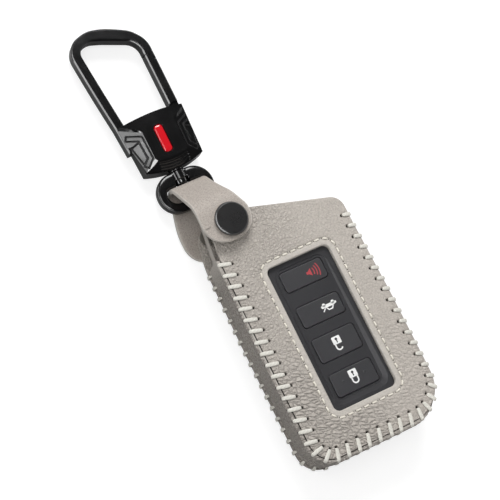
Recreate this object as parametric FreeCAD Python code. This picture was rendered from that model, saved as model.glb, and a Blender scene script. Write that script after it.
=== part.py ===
import FreeCAD, Part
import math
import os

# Key fob cover: a whip-stitched leather pocket with a button window, a folded strap with a snap,
# a shackle ring and a swivel carabiner. Millimetres, +Z up, lying on its back.
# x runs across the cover, y from its closed end to the carabiner. The shapes are built round the
# remote's centre and moved to the origin, which is the middle of the footprint, as they are saved.

V = FreeCAD.Vector
Z = V(0, 0, 1)

# Place of the remote's centre as seen from the origin
REMOTE_X = 4.93
REMOTE_Y = -43.565

# Remote
REMOTE_WIDTH = 42.9
REMOTE_LENGTH = 75.4
REMOTE_DEPTH = 13.4
REMOTE_CORNER = 11.0
SHELL_WALL = 1.4
FIELD_X = 0.5
FIELD_Y = 0.6
FIELD_WIDTH = 19.0
FIELD_LENGTH = 47.8
FIELD_DEPTH_HIGH = 0.3
FIELD_DEPTH_LOW = 1.3
FIELD_SLOPE = 1.2
FIELD_CORNER = 2.6
FIELD_WALL = 0.9
BUTTON_WIDTH = 16.2
BUTTON_CORNER = 1.2
BUTTON_RISE = 0.25
BUTTON_EDGE = 0.35
BUTTON_GAP = 0.15
BUTTON_FLANGE = 0.8
BUTTON_TRAVEL = 0.6
ALARM_PLACE, ALARM_SHARE = 0.406, 0.151
TRUNK_PLACE, TRUNK_SHARE = 0.134, 0.159
UNLOCK_PLACE, UNLOCK_SHARE = -0.126, 0.184
LOCK_PLACE, LOCK_SHARE = -0.393, 0.176
KEYPAD_THICK = 0.8
KEYPAD_MARGIN = 1.0
SWITCH_SIZE = 4.4
SWITCH_HEIGHT = 0.8
BOARD_THICK = 1.0
BOARD_MARGIN = 1.1
BOARD_LEDGE = 1.5
CELL_RADIUS = 10.0
CELL_THICK = 3.2
CELL_Y = -10.0
CONTACT_WIDTH = 4.0
CONTACT_THICK = 0.3
CONTACT_REACH = 8.0

# Leather cover
LEATHER = 1.4
GUSSET_INSET = 0.6
SIDE_SLACK = 0.85
END_SLACK = 0.7
FACE_SLACK = 0.15
FACING_THICK = 0.5
FACING_WIDTH = 5.0
CASE_CORNER = 8.0
MOUTH_MARGIN = 1.9
MOUTH_RISE = 14.0
MOUTH_CORNER = 5.0
EAR_CORNER = 7.0
WINDOW_X = 0.4
WINDOW_Y = 0.1
WINDOW_WIDTH = 24.0
WINDOW_LENGTH = 52.8
WINDOW_CORNER = 2.2
SEAM_LEFT_TOP = 33.2
SEAM_RIGHT_TOP = 33.2
TONGUE_LEFT = 11.8
TONGUE_RIGHT = 3.4
TONGUE_INSET = 2.6

# Whip stitches over the edges and the running stitch round the window
WHIP_PITCH = 4.1
WHIP_INSET = 3.2
WHIP_DROP = 1.9
WHIP_SLANT = 14.0
THREAD_WIDTH = 1.4
THREAD_THICK = 0.7
THREAD_GAP = 0.1
HOLE_LENGTH = 1.3
HOLE_WIDTH = 1.7
LINE_PITCH = 3.1
LINE_STITCH = 1.7
LINE_WIDTH = 0.6
LINE_THICK = 0.35
LINE_OFFSET = 2.3

# Strap
STRAP_THICK = 1.6
STRAP_REACH = 19.8
FOLD_WIDTH = 12.8
FOLD_SHIFT = 0.3
FOLD_BEND = 3.0
FOLD_TOP_BEND = 3.5
FOLD_TOP_HEIGHT = 8.2
SLOPE_BEND = 6.0
SLOPE_START = 3.2
FRONT_END_RADIUS = 8.2
REAR_END_RADIUS = 7.5
REAR_END_SHIFT = -4.2
END_ROUNDING = 0.98
FLAP_SPLIT_HEIGHT = 6.2

# Snap and rivet
SNAP_INSET = 8.9
SNAP_MARGIN = 4.4
SNAP_CAP_RADIUS = 5.3
SNAP_CAP_HEIGHT = 2.0
SNAP_CAP_BEVEL = 0.7
SNAP_TUBE_RADIUS = 1.6
SNAP_STACK = 2.3
SOCKET_RADIUS = 4.3
SOCKET_LIP = 0.3
STUD_FLANGE_RADIUS = 4.0
STUD_FLANGE = 0.6
STUD_RADIUS = 1.9
STUD_PLAY = 0.6
STUD_TOP_GAP = 0.15
POST_RADIUS = 1.1
POST_FLANGE_RADIUS = 3.5
POST_FLANGE = 0.45
FIT_GAP = 0.06
RIVET_CAP_RADIUS = 3.6
RIVET_CAP = 0.6
RIVET_HEAD_RADIUS = 3.0
RIVET_HEAD = 0.6
RIVET_RADIUS = 1.3
RIVET_BITE = 0.35

# Swivel ring and post
SWIVEL_INSET = 4.7
RING_WIDTH = 20.8
RING_HEIGHT = 14.2
RING_BAR = 2.8
RING_THICK = 3.6
RING_EDGE = 0.7
RING_CORNER = 6.9
RING_BOSS = 2.6
SWIVEL_RADIUS = 1.3
SWIVEL_PLAY = 0.08
SWIVEL_HEAD_RADIUS = 2.1
SWIVEL_HEAD = 1.6
SWIVEL_HEAD_GAP = 1.0
SWIVEL_END_PLAY = 0.1
SWIVEL_SEAT = 4.5
WASHER_THICK = 0.5
WASHER_RADIUS = 2.6

# Carabiner
BLOCK_HALF_LOW = 10.9
BLOCK_HALF_HIGH = 11.7
BLOCK_HEIGHT = 20.2
BLOCK_BOW = 1.9
BLOCK_CROWN = 1.0
BLOCK_THICK = 5.5
PLATE_THICK = 2.0
PLATE_RIM = 0.4
PLATE_INSET = 0.35
PLATEAU_HALF = 6.2
PLATEAU_FOOT = 3.9
PEG_RADIUS = 1.1
PEG_LENGTH = 1.6
PEG_X = 7.0
PEG_Y = 8.0
INLAY_WIDTH = 2.8
INLAY_CORNER = 1.25
INLAY_LENGTH = 10.0
INLAY_DEPTH = 0.6
INLAY_SINK = 0.1
INLAY_RISE = 11.0
HOOK_BAR = 3.4
HOOK_THICK = 5.0
HOOK_EDGE = 0.5
HOOK_LEFT_FOOT = -13.0
HOOK_LEFT_TOP = -16.0
HOOK_LEFT_HEIGHT = 58.7
HOOK_RIGHT = 11.1
HOOK_RIGHT_HEIGHT = 48.9
HOOK_LEFT_BEND = 7.3
HOOK_RIGHT_BEND = 9.0
HOOK_CROWN = 0.6
HOOK_CROWN_BEND = 40.0
NOSE_HEIGHT = 38.7
NOSE_LIP = 1.6
NOSE_STEP = 2.5
LATCH_GAP = 0.2
GATE_PIVOT_HEIGHT = 16.3
GATE_TONGUE = 3.3
GATE_SIDE_GAP = 0.1
GATE_SHOULDER = 5.6
GATE_SWEEP = 5.2
GATE_OPENS = 28.0
RELIEF_GAP = 0.5
PIN_RADIUS = 0.9
PIN_PLAY = 0.05
SPRING_THICK = 0.3
SPRING_WIDTH = 2.6
SPRING_POCKET = 4.4
SPRING_GAP = 0.1


def turn(angle):
    """Unit vector in the XY plane at an angle in degrees."""
    return V(math.cos(math.radians(angle)), math.sin(math.radians(angle)), 0)


def bent_outline(points, radii):
    """Closed wire through the points, with each corner rounded by its radius."""
    ends = []
    edges = []
    count = len(points)
    for i, corner in enumerate(points):
        before = (points[i - 1] - corner).normalize()
        after = (points[(i + 1) % count] - corner).normalize()
        radius = radii[i]
        if radius == 0:
            ends.append((corner, corner))
            continue
        half = before.getAngle(after) / 2
        reach = radius / math.tan(half)
        inward = (before + after).normalize()
        middle = corner + inward * (radius / math.sin(half) - radius)
        start, stop = corner + before * reach, corner + after * reach
        edges.append(Part.Arc(start, middle, stop).toShape())
        ends.append((start, stop))
    for i in range(count):
        start, stop = ends[i - 1][1], ends[i][0]
        if (stop - start).Length > 1e-6:
            edges.append(Part.LineSegment(start, stop).toShape())
    return Part.Wire(Part.__sortEdges__(edges))


def bent_face(points, radii):
    return Part.Face(bent_outline(points, radii))


def prism(points, radii, bottom, top):
    """Upright solid over an outline given by XY points, between two heights."""
    face = bent_face([V(p.x, p.y, bottom) for p in points], radii)
    return face.extrude(V(0, 0, top - bottom))


def box_corners(x, y, width, length):
    half_w, half_l = width / 2, length / 2
    return [V(x - half_w, y - half_l), V(x + half_w, y - half_l),
            V(x + half_w, y + half_l), V(x - half_w, y + half_l)]


def rounded_block(x, y, width, length, corner, bottom, top):
    return prism(box_corners(x, y, width, length), [corner] * 4, bottom, top)


def band_face(points, radii, width, normal):
    """Strip of even width to the left of a bent path, seen against the plane's normal."""
    headings = [(b - a).normalize() for a, b in zip(points, points[1:])]
    lefts = [normal.cross(h) for h in headings]
    far, far_radii = [points[0] + lefts[0] * width], [0]
    for i in range(1, len(points) - 1):
        a, b = lefts[i - 1], lefts[i]
        far.append(points[i] + (a + b) * (width / (1 + a.dot(b))))
        side = -1 if headings[i - 1].cross(headings[i]).dot(normal) > 0 else 1
        far_radii.append(radii[i] + side * width if radii[i] else 0)
    far.append(points[-1] + lefts[-1] * width)
    far_radii.append(0)
    return bent_face(points + far[::-1], radii + far_radii[::-1])


def disc(x, y, radius, bottom, top):
    return Part.makeCylinder(radius, top - bottom, V(x, y, bottom))


def turned(profile, x, y):
    """Solid of revolution about an upright axis at x, y, from (radius, height) points."""
    face = bent_face([V(r, 0, h) for r, h in profile], [0] * len(profile))
    solid = face.revolve(V(0, 0, 0), Z, 360)
    solid.translate(V(x, y, 0))
    return solid


def straight_leg(start, stop):
    heading = (stop - start).normalize()
    angle = math.degrees(math.atan2(heading.y, heading.x))
    return (stop - start).Length, lambda s: (start + heading * s, angle)


def arc_leg(centre, radius, start_angle):
    """Quarter turn to the left about a centre."""
    length = radius * math.pi / 2

    def place(s):
        angle = start_angle + math.degrees(s / radius)
        return centre + turn(angle) * radius, angle + 90
    return length, place


def places_along(legs, pitch, closed=False):
    """Evenly spaced (point, heading) pairs along a track of legs."""
    total = sum(length for length, _ in legs)
    steps = round(total / pitch)
    found = []
    for i in range(steps if closed else steps + 1):
        s = i * total / steps
        for length, place in legs:
            if s <= length + 1e-9:
                found.append(place(s))
                break
            s -= length
    return found


def put(shape, place):
    """Copy of a shape drawn at the origin with +Y as its heading, set on a track."""
    point, heading = place
    copy = shape.copy()
    copy.rotate(V(0, 0, 0), Z, heading - 90)
    copy.translate(point)
    return copy


def save(name, shape):
    shape.translate(V(REMOTE_X, REMOTE_Y, 0))
    shape.exportStep("parts/" + name + ".step")


os.makedirs("parts", exist_ok=True)

# Heights of the layers, from the table upwards
back_outside = RIVET_CAP + STRAP_THICK
back_inside = back_outside + LEATHER
remote_bottom = back_inside + FACE_SLACK
remote_top = remote_bottom + REMOTE_DEPTH
facing_bottom = remote_top + FACE_SLACK
front_inside = facing_bottom + FACING_THICK
front_outside = front_inside + LEATHER
strap_bottom = front_outside + SNAP_STACK
case_middle = (back_outside + front_outside) / 2

# Panel outline: straight sides, rounded closed end, slanted mouth that rises to the strap's ear
half_width = REMOTE_WIDTH / 2 + SIDE_SLACK + LEATHER + GUSSET_INSET
case_end = -(REMOTE_LENGTH / 2 + END_SLACK + LEATHER + GUSSET_INSET)
mouth_low = REMOTE_LENGTH / 2 + MOUTH_MARGIN
panel_points = [V(-half_width, case_end), V(half_width, case_end),
                V(half_width, mouth_low), V(-half_width, mouth_low + MOUTH_RISE)]
panel_radii = [CASE_CORNER, CASE_CORNER, MOUTH_CORNER, EAR_CORNER]
snap_x = -half_width + SNAP_INSET
snap_y = mouth_low + MOUTH_RISE * (half_width - snap_x) / (2 * half_width) - SNAP_MARGIN
rear_x = snap_x + REAR_END_SHIFT
swivel_x = -half_width + SWIVEL_INSET
fold_y = snap_y + STRAP_REACH

# Track of the edge seam, down the left side, along the closed end and up the right side
seam = [straight_leg(V(-half_width, SEAM_LEFT_TOP), V(-half_width, case_end + CASE_CORNER)),
        arc_leg(V(CASE_CORNER - half_width, case_end + CASE_CORNER), CASE_CORNER, 180),
        straight_leg(V(CASE_CORNER - half_width, case_end), V(half_width - CASE_CORNER, case_end)),
        arc_leg(V(half_width - CASE_CORNER, case_end + CASE_CORNER), CASE_CORNER, 270),
        straight_leg(V(half_width, case_end + CASE_CORNER), V(half_width, SEAM_RIGHT_TOP))]
whip_places = places_along(seam, WHIP_PITCH)

# One whip stitch over an edge that runs along +Y with the leather to its left:
# out of the punched hole, slanting over the edge and down to the gusset.
lag = math.tan(math.radians(WHIP_SLANT))


def on_slant(across, height):
    return V(across, -THREAD_WIDTH / 2 - (across + WHIP_INSET) * lag, height)


over = front_outside + THREAD_GAP
under = front_inside - WHIP_DROP
hole_half = THREAD_THICK / 2
bend = [on_slant(-WHIP_INSET - hole_half, over + THREAD_THICK), on_slant(THREAD_GAP, over + THREAD_THICK),
        on_slant(THREAD_GAP + THREAD_THICK, over), on_slant(THREAD_GAP + THREAD_THICK, under),
        on_slant(THREAD_GAP, under), on_slant(THREAD_GAP, over)]
in_hole = [on_slant(-WHIP_INSET + hole_half, over), on_slant(-WHIP_INSET + hole_half, front_inside),
           on_slant(-WHIP_INSET - hole_half, front_inside)]
on_face = [on_slant(-WHIP_INSET - hole_half, over)]


def whip_stitch(points):
    return bent_face(points, [0] * len(points)).extrude(V(0, THREAD_WIDTH, 0))


whip = whip_stitch(bend + in_hole)
whip_under = whip_stitch(bend + on_face).mirror(V(0, 0, case_middle), Z)
save("front_edge_stitching", Part.Compound([put(whip, place) for place in whip_places]))
save("back_edge_stitching", Part.Compound([put(whip_under, place) for place in whip_places]))

# Punched holes that the whip stitches start from
hole_near = on_slant(-WHIP_INSET - HOLE_LENGTH / 2, 0)
hole_far = on_slant(-WHIP_INSET + HOLE_LENGTH / 2, 0)
hole_low = V(0, (THREAD_WIDTH - HOLE_WIDTH) / 2, 0)
hole_high = V(0, (THREAD_WIDTH + HOLE_WIDTH) / 2, 0)
hole = prism([hole_near + hole_low, hole_far + hole_low, hole_far + hole_high, hole_near + hole_high],
             [0] * 4, front_inside - LEATHER, front_outside + LEATHER)

# Front panel with the button window and the snap's hole
front_panel = prism(panel_points, panel_radii, front_inside, front_outside)
front_panel = front_panel.cut([
    rounded_block(WINDOW_X, WINDOW_Y, WINDOW_WIDTH, WINDOW_LENGTH, WINDOW_CORNER,
                  front_inside - LEATHER, front_outside + LEATHER),
    disc(snap_x, snap_y, POST_RADIUS + FIT_GAP, front_inside, front_outside)])
save("front_panel", front_panel.cut([put(hole, place) for place in whip_places]))

# Back panel with the rivet's hole
back_panel = prism(panel_points, panel_radii, back_outside, back_inside)
back_panel = back_panel.cut(disc(rear_x, snap_y, RIVET_RADIUS + FIT_GAP, back_outside, back_inside))
save("back_panel", back_panel)

# Facing behind the window
facing = rounded_block(WINDOW_X, WINDOW_Y, WINDOW_WIDTH + 2 * FACING_WIDTH,
                       WINDOW_LENGTH + 2 * FACING_WIDTH, WINDOW_CORNER + FACING_WIDTH,
                       facing_bottom, front_inside)
facing = facing.cut(rounded_block(WINDOW_X, WINDOW_Y, WINDOW_WIDTH, WINDOW_LENGTH, WINDOW_CORNER,
                                  facing_bottom, front_inside))
save("window_facing", facing)

# Running stitch round the window
line_x = WINDOW_WIDTH / 2 + LINE_OFFSET
line_y = WINDOW_LENGTH / 2 + LINE_OFFSET
line_r = WINDOW_CORNER + LINE_OFFSET
middle = V(WINDOW_X, WINDOW_Y)
line_track = []
for angle, half_run, half_off in ((0, line_y, line_x), (90, line_x, line_y),
                                  (180, line_y, line_x), (270, line_x, line_y)):
    out, ahead = turn(angle), turn(angle + 90)
    line_track.append(straight_leg(middle + out * half_off - ahead * (half_run - line_r),
                                   middle + out * half_off + ahead * (half_run - line_r)))
    line_track.append(arc_leg(middle + out * (half_off - line_r) + ahead * (half_run - line_r),
                              line_r, angle))
dash = Part.makeBox(LINE_WIDTH, LINE_STITCH, LINE_THICK,
                    V(-LINE_WIDTH / 2, -LINE_STITCH / 2, front_outside))
line_places = places_along(line_track, LINE_PITCH, closed=True)
save("window_stitching", Part.Compound([put(dash, place) for place in line_places]))

# Gusset strip round three sides, narrowed to free tongues above the seam
gusset_x = half_width - GUSSET_INSET
gusset_end = case_end + GUSSET_INSET
gusset_bend = CASE_CORNER - GUSSET_INSET
gusset_path = [V(-gusset_x, SEAM_LEFT_TOP + TONGUE_LEFT), V(-gusset_x, gusset_end),
               V(gusset_x, gusset_end), V(gusset_x, SEAM_RIGHT_TOP + TONGUE_RIGHT)]
gusset = band_face(gusset_path, [0, gusset_bend, gusset_bend, 0], LEATHER, Z)
gusset.translate(V(0, 0, back_inside))
gusset = gusset.extrude(V(0, 0, front_inside - back_inside))
for side, top in ((-1, SEAM_LEFT_TOP), (1, SEAM_RIGHT_TOP)):
    corner = V(side * gusset_x - LEATHER, top + WHIP_PITCH / 2, front_inside - TONGUE_INSET)
    notch = Part.makeBox(2 * LEATHER, TONGUE_LEFT + TONGUE_RIGHT, TONGUE_INSET, corner)
    gusset = gusset.cut([notch, notch.mirror(V(0, 0, case_middle), Z)])
save("side_gusset", gusset)

# Strap: a band that lies over the snap, slopes down to a fold in the ring and returns under the back
slope_start = snap_y + SOCKET_RADIUS + SLOPE_START
strap_side = fold_y - STRAP_THICK
front_path = [V(0, snap_y - FRONT_END_RADIUS, strap_bottom), V(0, slope_start, strap_bottom),
              V(0, strap_side, FOLD_TOP_HEIGHT), V(0, strap_side, FLAP_SPLIT_HEIGHT)]
rear_path = [V(0, strap_side, FLAP_SPLIT_HEIGHT), V(0, strap_side, back_outside),
             V(0, snap_y - REAR_END_RADIUS, back_outside)]
fold_left = swivel_x + FOLD_SHIFT - FOLD_WIDTH / 2
fold_right = fold_left + FOLD_WIDTH
past_fold = fold_y + STRAP_THICK


def strap_half(path, radii, end_x, end_radius):
    """Band bent along a side path, cut to a plan with a round end and a narrower fold."""
    sheet = band_face(path, radii, STRAP_THICK, V(1, 0, 0))
    sheet.translate(V(-2 * half_width, 0, 0))
    sheet = sheet.extrude(V(4 * half_width, 0, 0))
    left, right = end_x - end_radius, end_x + end_radius
    tip = snap_y - end_radius
    plan = prism([V(left, tip), V(right, tip), V(right, slope_start), V(fold_right, fold_y - FOLD_BEND),
                  V(fold_right, past_fold), V(fold_left, past_fold), V(fold_left, fold_y - FOLD_BEND),
                  V(left, slope_start)],
                 [end_radius * END_ROUNDING] * 2 + [0] * 6, -STRAP_THICK, strap_bottom + 2 * STRAP_THICK)
    return sheet.common(plan)


front_half = strap_half(front_path, [0, SLOPE_BEND, FOLD_TOP_BEND, 0], snap_x, FRONT_END_RADIUS)
front_half = front_half.cut(disc(snap_x, snap_y, SNAP_TUBE_RADIUS + FIT_GAP, strap_bottom,
                                 strap_bottom + STRAP_THICK))
save("strap_front_half", front_half)
rear_half = strap_half(rear_path, [0, FOLD_BEND, 0], rear_x, REAR_END_RADIUS)
rear_half = rear_half.cut(disc(rear_x, snap_y, RIVET_RADIUS + FIT_GAP, RIVET_CAP, back_outside))
save("strap_rear_half", rear_half)

# Snap: cap and socket on the strap, stud and post on the front panel
strap_top = strap_bottom + STRAP_THICK
cap_top = strap_top + SNAP_CAP_HEIGHT
socket_bottom = front_outside + STUD_FLANGE + SOCKET_LIP
tube_end = strap_bottom - SOCKET_LIP
stud_top = tube_end - STUD_TOP_GAP
save("snap_cap", turned([(0, tube_end), (SNAP_TUBE_RADIUS, tube_end), (SNAP_TUBE_RADIUS, strap_top),
                         (SNAP_CAP_RADIUS, strap_top), (SNAP_CAP_RADIUS, cap_top - SNAP_CAP_BEVEL),
                         (SNAP_CAP_RADIUS - SNAP_CAP_BEVEL, cap_top), (0, cap_top)], snap_x, snap_y))
socket_inner = STUD_RADIUS + STUD_PLAY
save("snap_socket", turned([(socket_inner, socket_bottom), (SOCKET_RADIUS, socket_bottom),
                            (SOCKET_RADIUS, strap_bottom), (socket_inner, strap_bottom)],
                           snap_x, snap_y))
save("snap_stud", turned([(POST_RADIUS + FIT_GAP, front_outside), (STUD_FLANGE_RADIUS, front_outside),
                          (STUD_FLANGE_RADIUS, front_outside + STUD_FLANGE),
                          (STUD_RADIUS, front_outside + STUD_FLANGE), (STUD_RADIUS, stud_top),
                          (POST_RADIUS + FIT_GAP, stud_top)], snap_x, snap_y))
post_bottom = front_inside - POST_FLANGE
save("snap_post", turned([(0, post_bottom), (POST_FLANGE_RADIUS, post_bottom),
                          (POST_FLANGE_RADIUS, front_inside), (POST_RADIUS, front_inside),
                          (POST_RADIUS, stud_top), (0, stud_top)], snap_x, snap_y))

# Rivet that holds the strap's rear end to the back panel
save("rivet_post", turned([(0, RIVET_CAP - RIVET_BITE), (RIVET_RADIUS, RIVET_CAP - RIVET_BITE),
                           (RIVET_RADIUS, back_inside), (RIVET_HEAD_RADIUS, back_inside),
                           (RIVET_HEAD_RADIUS, back_inside + RIVET_HEAD),
                           (0, back_inside + RIVET_HEAD)], rear_x, snap_y))
save("rivet_cap", turned([(0, 0), (RIVET_CAP_RADIUS - RIVET_CAP / 2, 0), (RIVET_CAP_RADIUS, RIVET_CAP / 2),
                          (RIVET_CAP_RADIUS, RIVET_CAP), (RIVET_RADIUS + FIT_GAP, RIVET_CAP),
                          (RIVET_RADIUS + FIT_GAP, RIVET_CAP - RIVET_BITE), (0, RIVET_CAP - RIVET_BITE)],
                         rear_x, snap_y))

# Swivel ring: a rounded shackle with a boss for the post
swivel_z = PLATE_THICK + BLOCK_THICK / 2
head_bottom = fold_y + SWIVEL_HEAD_GAP
ring_inner_top = head_bottom + SWIVEL_HEAD + SWIVEL_END_PLAY
ring_top = ring_inner_top + RING_BAR
ring_middle = ring_top - RING_HEIGHT / 2
ring = rounded_block(swivel_x, ring_middle, RING_WIDTH, RING_HEIGHT, RING_CORNER,
                     swivel_z - RING_THICK / 2, swivel_z + RING_THICK / 2)
ring = ring.cut(rounded_block(swivel_x, ring_middle, RING_WIDTH - 2 * RING_BAR,
                              RING_HEIGHT - 2 * RING_BAR, RING_CORNER - RING_BAR,
                              swivel_z - RING_THICK, swivel_z + RING_THICK))
rims = [e for e in ring.Edges if abs(abs(e.CenterOfMass.z - swivel_z) - RING_THICK / 2) < 1e-6]
ring = ring.makeChamfer(RING_EDGE, rims)


def along_swivel(radius, low, high):
    return Part.makeCylinder(radius, high - low, V(swivel_x, low, swivel_z), V(0, 1, 0))


ring = ring.fuse(along_swivel(RING_BOSS, ring_inner_top, ring_top)).removeSplitter()
ring = ring.cut(along_swivel(SWIVEL_RADIUS + SWIVEL_PLAY, ring_inner_top, ring_top))
save("swivel_ring", ring)
washer_low = ring_top + SWIVEL_END_PLAY
block_bottom = washer_low + WASHER_THICK
washer = along_swivel(WASHER_RADIUS, washer_low, block_bottom)
save("swivel_washer", washer.cut(along_swivel(SWIVEL_RADIUS + FIT_GAP, washer_low, block_bottom)))
post = along_swivel(SWIVEL_RADIUS, head_bottom, block_bottom + SWIVEL_SEAT)
post = post.fuse(along_swivel(SWIVEL_HEAD_RADIUS, head_bottom, head_bottom + SWIVEL_HEAD))
save("swivel_post", post.removeSplitter())

# Carabiner block: a tapered slab with bowed ends, carrying the hook
block_low = swivel_z - BLOCK_THICK / 2
block_high = swivel_z + BLOCK_THICK / 2
block_top = block_bottom + BLOCK_HEIGHT


def block_slab(inset, bottom, top):
    """Slab of the block's outline, drawn in by an inset all round."""
    low = BLOCK_HALF_LOW - inset
    high = BLOCK_HALF_HIGH - inset
    foot = block_bottom + BLOCK_BOW + inset
    crown = block_top - inset
    a, b = V(swivel_x - low, foot, bottom), V(swivel_x + low, foot, bottom)
    c, d = V(swivel_x + high, crown, bottom), V(swivel_x - high, crown, bottom)
    dip = V(swivel_x, block_bottom + inset, bottom)
    peak = V(swivel_x, crown + BLOCK_CROWN, bottom)
    wire = Part.Wire([Part.Arc(a, dip, b).toShape(), Part.LineSegment(b, c).toShape(),
                      Part.Arc(c, peak, d).toShape(), Part.LineSegment(d, a).toShape()])
    return Part.Face(wire).extrude(V(0, 0, top - bottom))


# Bevelled slab: falls on three sides from a plateau to a rim, used for the block's front and back
plate_top = block_high + PLATE_THICK
bevel_rise = PLATE_THICK - PLATE_RIM


def bevel_cut(edge, inner, outward):
    """Wedge above a facet that falls from the plateau's border to the slab's rim."""
    run = (edge - inner).Length
    slope = math.degrees(math.atan2(bevel_rise, run))
    size = 4 * BLOCK_HEIGHT
    wedge = Part.makeBox(size, size, size, V(0, -size / 2, 0))
    wedge.rotate(V(0, 0, 0), V(0, 1, 0), slope)
    wedge.rotate(V(0, 0, 0), Z, outward)
    wedge.translate(V(inner.x, inner.y, plate_top))
    return wedge


left_edge = V(swivel_x - BLOCK_HALF_LOW + PLATE_INSET, block_bottom)
left_inner = V(swivel_x - PLATEAU_HALF, block_bottom)
right_edge = V(swivel_x + BLOCK_HALF_LOW - PLATE_INSET, block_bottom)
right_inner = V(swivel_x + PLATEAU_HALF, block_bottom)
foot_edge = V(swivel_x, block_bottom + PLATE_INSET)
foot_inner = V(swivel_x, block_bottom + PLATEAU_FOOT)
bevelled = block_slab(PLATE_INSET, block_high, plate_top)
bevelled = bevelled.cut([bevel_cut(left_edge, left_inner, 180), bevel_cut(right_edge, right_inner, 0),
                         bevel_cut(foot_edge, foot_inner, 270)])

# Hook: a bent bar up the left arm, over the slanted top and down to the nose
hook_low = swivel_z - HOOK_THICK / 2
left_top = V(swivel_x + HOOK_LEFT_TOP, block_bottom + HOOK_LEFT_HEIGHT, hook_low)
right_top = V(swivel_x + HOOK_RIGHT, block_bottom + HOOK_RIGHT_HEIGHT, hook_low)
hook_path = [V(swivel_x + HOOK_LEFT_FOOT, block_top - HOOK_BAR - PLATEAU_HALF, hook_low),
             left_top, (left_top + right_top) / 2 + V(0, HOOK_CROWN, 0), right_top,
             V(swivel_x + HOOK_RIGHT, block_bottom + NOSE_HEIGHT, hook_low)]
hook_bends = [0, HOOK_LEFT_BEND, HOOK_CROWN_BEND, HOOK_RIGHT_BEND, 0]
hook = band_face(hook_path, hook_bends, HOOK_BAR, -Z)
hook = hook.extrude(V(0, 0, HOOK_THICK))
rims = [e for e in hook.Edges if abs(abs(e.CenterOfMass.z - swivel_z) - HOOK_THICK / 2) < 1e-6]
hook = hook.makeChamfer(HOOK_EDGE, rims)

# Gate: an arm pinned in a slot of the block, with a tip that closes behind the nose's lip
gate_out = swivel_x + HOOK_RIGHT
gate_in = gate_out - HOOK_BAR
gate_middle = (gate_out + gate_in) / 2
pivot = V(gate_middle, block_bottom + GATE_PIVOT_HEIGHT, 0)
nose_end = block_bottom + NOSE_HEIGHT
lip_in = gate_out - NOSE_LIP
hook = hook.cut(Part.makeBox(HOOK_BAR, NOSE_STEP, 2 * HOOK_THICK,
                             V(lip_in - HOOK_BAR, nose_end, hook_low - HOOK_THICK / 2)))
arm_foot = pivot.y
tip_in = lip_in - LATCH_GAP
shoulder = nose_end - LATCH_GAP
tip = nose_end + NOSE_STEP - LATCH_GAP
arm = prism([V(gate_in, arm_foot), V(gate_out, arm_foot), V(gate_out, shoulder), V(tip_in, shoulder),
             V(tip_in, tip), V(gate_in, tip)], [0] * 6, hook_low, hook_low + HOOK_THICK)
rims = [e for e in arm.Edges if abs(abs(e.CenterOfMass.z - swivel_z) - HOOK_THICK / 2) < 1e-6
        and abs(e.Curve.Direction.y) > 0.5 and e.Length > NOSE_HEIGHT / 3]
arm = arm.makeChamfer(HOOK_EDGE, rims)
arm = arm.cut(disc(pivot.x, pivot.y, GATE_SHOULDER, hook_low, hook_low + HOOK_THICK))
tongue_low = swivel_z - GATE_TONGUE / 2
tongue_high = swivel_z + GATE_TONGUE / 2
tongue = Part.makeBox(HOOK_BAR, GATE_SHOULDER + HOOK_BAR, GATE_TONGUE, V(gate_in, pivot.y, tongue_low))
tongue = tongue.fuse(disc(pivot.x, pivot.y, HOOK_BAR / 2, tongue_low, tongue_high))
gate = arm.fuse(tongue).removeSplitter()
gate = gate.cut(disc(pivot.x, pivot.y, PIN_RADIUS + PIN_PLAY, tongue_low, tongue_high))
save("gate", gate)

# Frame: block, bevelled back and hook in one casting, slotted for the gate, bored for pin and post
frame = block_slab(0, block_low, block_high).fuse(hook)
relief_in = gate_in - GATE_SHOULDER * math.sin(math.radians(GATE_OPENS)) - RELIEF_GAP
relief = Part.makeBox(2 * BLOCK_HALF_HIGH, BLOCK_HEIGHT, 2 * BLOCK_THICK,
                      V(relief_in, pivot.y, block_low - BLOCK_THICK / 2))
relief = relief.cut(disc(pivot.x, pivot.y, GATE_SWEEP,
                         block_low - BLOCK_THICK / 2, block_high + BLOCK_THICK))
relief = relief.cut(Part.makeBox(3 * BLOCK_HALF_HIGH, BLOCK_HEIGHT, 3 * BLOCK_THICK,
                                 V(relief_in, nose_end - 3 * HOOK_BAR, block_low - BLOCK_THICK)))
slot_half = HOOK_BAR / 2 + GATE_SIDE_GAP
slot_left = pivot.x - slot_half - SPRING_POCKET
slot_right, slot_top = gate_out + HOOK_BAR, block_top + 2 * BLOCK_CROWN
slot = prism([V(slot_left, pivot.y - slot_half), V(slot_right, pivot.y - slot_half),
              V(slot_right, slot_top), V(slot_left, slot_top)],
             [0] * 4, tongue_low - GATE_SIDE_GAP, tongue_high + GATE_SIDE_GAP)
pin_bore = disc(pivot.x, pivot.y, PIN_RADIUS + PIN_PLAY, block_low, block_high)
seat = along_swivel(SWIVEL_RADIUS + FIT_GAP, block_bottom - BLOCK_BOW, block_bottom + SWIVEL_SEAT)
peg_spots = [(swivel_x - PEG_X, block_bottom + PEG_Y), (swivel_x + PEG_X, block_bottom + PEG_Y)]
peg_holes = [disc(x, y, PEG_RADIUS + FIT_GAP, block_high - PEG_LENGTH - FIT_GAP, block_high)
             for x, y in peg_spots]
frame = frame.cut([relief, slot, pin_bore, seat] + peg_holes)
save("carabiner_frame", frame.fuse(bevelled.mirror(V(0, 0, swivel_z), Z)).removeSplitter())
save("gate_pin", disc(pivot.x, pivot.y, PIN_RADIUS, block_low, block_high))

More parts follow.
